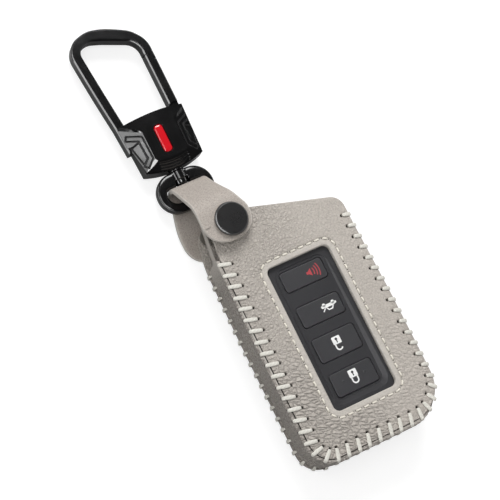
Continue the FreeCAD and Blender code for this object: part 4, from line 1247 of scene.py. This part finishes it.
SHOULDER_LINE = (6.2, 14.9)
SHOULDER_WAY = (-0.503, 0.864)
SHOULDER_EDGE = 0.8
RIDGE_HALF = 5.6
RIDGE_EDGE = 0.2
RIDGE_PITCH = 0.9
RIDGE_TOP = 2.65
RIDGE_BOW = 0.027
RIDGE_DEPTH = 0.17
INLAY_CORNER = 1.25
INLAY_GAP = 0.1
INLAY_SINK = 0.6
INLAY_SHIFT = (-0.35, 0.0)
INLAY_SPREAD = (0.45, 0.1)
plate_low, plate_high = span("badge_plate")
inlay_low, inlay_high = span("badge_inlay")
inlay_at, inlay_size = np.add(footprint("badge_inlay"), (INLAY_SHIFT, INLAY_SPREAD))
swivel_x = ring_middle[0]
plate_half = (plate_high[0] - plate_low[0]) / 2
plate_base = plate_high[2] - PLATE_THICK


def past_line(x, y, point, way):
    """Distance of points past a line through a point, in the direction that the line faces."""
    return (x - point[0]) * way[0] + (y - point[1]) * way[1]


def depth_in(x, y, corners):
    """Depth of points inside a convex outline given anticlockwise, negative outside it."""
    sides = zip(corners, corners[1:] + corners[:1])
    return np.minimum.reduce([past_line(x, y, (ax, ay), unit(np.array([ay - by, bx - ax])))
                              for (ax, ay), (bx, by) in sides])


def depth_in_band(x, y, path, half):
    """Depth of points inside a bent band cut square at both ends, negative outside it."""
    spots, path = np.column_stack([x.ravel(), y.ravel()]), np.array(path)
    depth = half - distance_to_runs(spots, path[:-1], path[1:])
    for end, inner in ((path[0], path[1]), (path[-1], path[-2])):
        depth = np.minimum(depth, (spots - end) @ unit(inner - end))
    return depth.reshape(x.shape)


u, v = np.meshgrid(np.linspace(-1, 1, PLATE_ROWS), np.linspace(0, 1, PLATE_ROWS))
foot_bow = PLATE_BOW * u ** 2
end_rise = plate_high[1] - plate_low[1] - PLATE_CROWN * u ** 2
rise = foot_bow + v * (end_rise - foot_bow)
wing = PLATE_FLARE * step(v, FLARE_END) + PLATE_WING * step(v - WING_START, WING_EASE)
trim = PLATE_CUT * step(v - CUT_START, 1 - CUT_START)
half_width = plate_half - PLATE_TAPER * (1 - v) + np.where(u < 0, wing, -trim)
plate_x = u * half_width
aside = np.abs(plate_x)
fall = PLATE_THICK - PLATE_RIM
side_drop = fall * (aside - PLATEAU_HALF) / (half_width - PLATEAU_HALF)
foot_drop = fall * (PLATEAU_FOOT + foot_bow - rise) / PLATEAU_FOOT
corner_drop = CORNER_SLOPE * past_line(aside, rise, CORNER_FACET, CORNER_WAY)
above = past_line(aside, rise, SHOULDER_LINE, SHOULDER_WAY)
drop = np.clip(np.maximum.reduce([side_drop, foot_drop, corner_drop]), 0, fall)
drop *= 1 - step(above, SHOULDER_EDGE)
reliefs = (depth_in_band(aside, rise, BRACKET, BRACKET_HALF), depth_in(aside, rise, SIDE_BAR))
groove = np.maximum(*[step(depth + RELIEF_GROOVE, RELIEF_EDGE) - step(depth, RELIEF_EDGE)
                      for depth in reliefs])
drop += RELIEF_DEPTH * groove
ridge_down = RIDGE_TOP - rise + RIDGE_BOW * plate_x ** 2
valley = 0.5 - 0.5 * np.cos(2 * math.pi * (ridge_down - RIDGE_PITCH / 2) / RIDGE_PITCH)
drop += RIDGE_DEPTH * valley * step(ridge_down, RIDGE_EDGE) * step(RIDGE_HALF - aside, RIDGE_EDGE)
plate_plan = np.stack([plate_x + swivel_x, rise + plate_low[1]], -1)
recess_gap = outside_box(plate_plan, inlay_at, inlay_size, INLAY_CORNER)
drop += INLAY_SINK * step(INLAY_GAP + RELIEF_EDGE / 2 - recess_gap, RELIEF_EDGE)
plate_z = np.maximum(plate_high[2] - drop, plate_base + PLATE_LEAST)
plate_top = np.concatenate([plate_plan, plate_z[..., None]], -1)
rim = np.concatenate([plate_top[0], plate_top[1:, -1], plate_top[-1, -2::-1], plate_top[-2:0:-1, 0]])
wall, wall_faces = grid([rim, rim * (1, 1, 0) + (0, 0, plate_base)])


def plate_paint(place):
    """The casting's gloss plate, left dull in the grooves."""
    sockets = gloss(place)
    return sockets | {"Roughness": sockets["Roughness"] + GROOVE_DULL * place.mark("groove")}


badge_black = coat("badge_black_plate", plate_paint, Specular_IOR_Level=0.6)
piece("badge_plate_casting", "carabiner", "metal_black", badge_black, ["badge_plate"],
      grid(plate_top, closed=False), (wall, wall_faces[:-2] + wall_faces[-1:]),
      marks={"groove": np.concatenate([groove.ravel(), np.zeros(len(wall))])})

# Inlay: a bar of bright red enamel. It is set in the plate's recess with a fine gap round it,
# and its face is slightly crowned.
ENAMEL_RED = (0.62, 0.006, 0.014)
INLAY_EDGE = 0.5
INLAY_CROWN = [(0.6, 0.03), (1.0, 0.05)]
levels = [(0.0, inlay_low[2])]
levels += [(INLAY_EDGE * (1 - math.cos(t)), inlay_high[2] - INLAY_EDGE * (1 - math.sin(t))) for t in tilts]
levels += [(inset, inlay_high[2] + crown) for inset, crown in INLAY_CROWN]
enamel = coat("red_enamel",
              grained(ENAMEL_RED, size=0.6, contrast=0.06, roughness=0.12, depth=0.001),
              Specular_IOR_Level=0.6, Coat_Weight=0.5)
piece("enamel_bar", "carabiner", "enamel_red", enamel, ["badge_inlay"],
      grid([at_height(box_track(inlay_at, inlay_size - 2 * inset, INLAY_CORNER - inset), z)
            for inset, z in levels]))

# Studio: a white table in a white room with a dim ceiling, lit by four soft boxes. The gloss black
# mirrors a bright strip and two white cards. The camera stands at the photograph's angle.
FLOOR_SIZE = 6000.0
FLOOR_WHITE = (0.36, 0.36, 0.36)
FLOOR_GRAIN = 4.0
FLOOR_CONTRAST = 0.005
WORLD_LEVEL = 0.45
GLOW = 0.74
CEILING = 0.06
CEILING_FADE = (0.05, 0.45)
STRIP_LEVEL = 10.0
STRIP_SIDE = (-0.35, -0.60)
STRIP_FOOT = (0.24, 0.30)
STRIP_TOP = (0.40, 0.46)
CARDS = [((-0.165, -0.103, 0.981), 14.0), ((-0.180, 0.213, 0.961), 4.0)]
CARD_EDGE = (0.988, 0.995)


def table_paint(place):
    tones = [shade(FLOOR_WHITE, 1 + way * FLOOR_CONTRAST) for way in (-1, 1)]
    return {"Base Color": mixed(grain(place, FLOOR_GRAIN), *tones),
            "Emission Color": mixed(place.node("ShaderNodeLightPath", {}, {}, "Is Camera Ray"),
                                    shade((0, 0, 0)), shade((GLOW,) * 3))}


floor_mesh = bpy.data.meshes.new("table_top")
reach = FLOOR_SIZE * MM / 2
floor_mesh.from_pydata([(-reach, -reach, 0), (reach, -reach, 0), (reach, reach, 0), (-reach, reach, 0)],
                       [], [(0, 1, 2, 3)])
floor_mesh.materials.append(coat("table_white", table_paint, Roughness=0.9, Emission_Strength=1.0))
table = placed("table_top", floor_mesh)

world = bpy.data.worlds.new("studio")
bpy.context.scene.world = world
world.use_nodes = True
sky = Wire(world.node_tree, None)
background = world.node_tree.nodes["Background"]
sky.feed(background, {"Color": shade((1, 1, 1)), "Strength": WORLD_LEVEL})
way = sky.node("ShaderNodeTexCoord", {}, {}, "Generated")
sideways, upward = way.axis("X"), way.axis("Z")
strip = ease(sideways, *STRIP_SIDE) * ease(upward, *STRIP_FOOT) * (1 - ease(upward, *STRIP_TOP))
walls = mixed(ease(upward, *CEILING_FADE), shade((1, 1, 1)), shade((CEILING,) * 3))
walls = mixed(strip, walls, shade((STRIP_LEVEL,) * 3))
for card_way, card_level in CARDS:
    toward = way.node("ShaderNodeVectorMath", {"operation": "DOT_PRODUCT"}, {0: way, 1: card_way}, "Value")
    walls = mixed(ease(toward, *CARD_EDGE), walls, shade((card_level,) * 3))
white = sky.node("ShaderNodeBackground", {}, {"Color": walls, "Strength": 1.0})
seen, mirrored, through = (sky.node("ShaderNodeLightPath", {}, {}, name + " Ray")
                           for name in ("Is Camera", "Is Glossy", "Is Transmission"))
seen = sky.math("MAXIMUM", seen, sky.math("MAXIMUM", mirrored, through))
lit = Wire(world.node_tree, background.outputs[0])
sky.feed(world.node_tree.nodes["World Output"],
         {"Surface": sky.node("ShaderNodeMixShader", {}, {0: seen, 1: lit, 2: white})})


def lamp(name, place, wide, high, level):
    """Soft box turned to the object, which it lights at a level. Place and size are in mm."""
    light = bpy.data.lights.new(name, "AREA")
    light.shape = "RECTANGLE"
    light.size, light.size_y = wide * MM, high * MM
    place = Vector(place) * MM
    light.energy = level * math.pi ** 2 * place.length_squared
    made = placed(name, light)
    made.location = place
    made.rotation_euler = place.to_track_quat("Z", "Y").to_euler()


lamp("overhead_box", (200, 680, 760), wide=460, high=460, level=0.68)
lamp("camera_box", (-306, 76, 846), wide=380, high=380, level=0.18)
lamp("right_box", (650, 80, 170), wide=220, high=60, level=0.06)
lamp("left_box", (-832, -300, 335), wide=600, high=120, level=0.08)

IMAGE = 500
FOCAL_PIXELS = 1950.0
CAMERA_AWAY = 650.0
CAMERA_WAY = (-0.345, -0.085, 0.935)
WINDOW_PIXEL = (330.8, 327.6)
WINDOW_SINK = 0.2
ROLL = math.radians(26.54)
SENSOR = 36.0
to_camera = unit(np.array(CAMERA_WAY))
upright = unit(np.array([0, 1, 0]) - to_camera[1] * to_camera)
level = np.cross(upright, to_camera)
right = math.cos(ROLL) * level - math.sin(ROLL) * upright
up = math.sin(ROLL) * level + math.cos(ROLL) * upright
camera_at = middle + (0, 0, front_high[2] - WINDOW_SINK) + CAMERA_AWAY * to_camera
aim_right, aim_down = (IMAGE / 2 - np.array(WINDOW_PIXEL)) / FOCAL_PIXELS
look = aim_right * right - aim_down * up - to_camera
back_axis = -unit(look)
side_axis = unit(np.cross(up, back_axis))
up_axis = np.cross(back_axis, side_axis)
lens = bpy.data.cameras.new("camera")
lens.sensor_width = SENSOR
lens.lens = SENSOR * FOCAL_PIXELS / IMAGE
camera = placed("camera", lens)
pose = np.eye(4)
pose[:3, :3] = np.column_stack([side_axis, up_axis, back_axis])
pose[:3, 3] = camera_at * MM
camera.matrix_world = Matrix(pose)
bpy.context.scene.camera = camera
bpy.context.scene.view_settings.view_transform = "Standard"
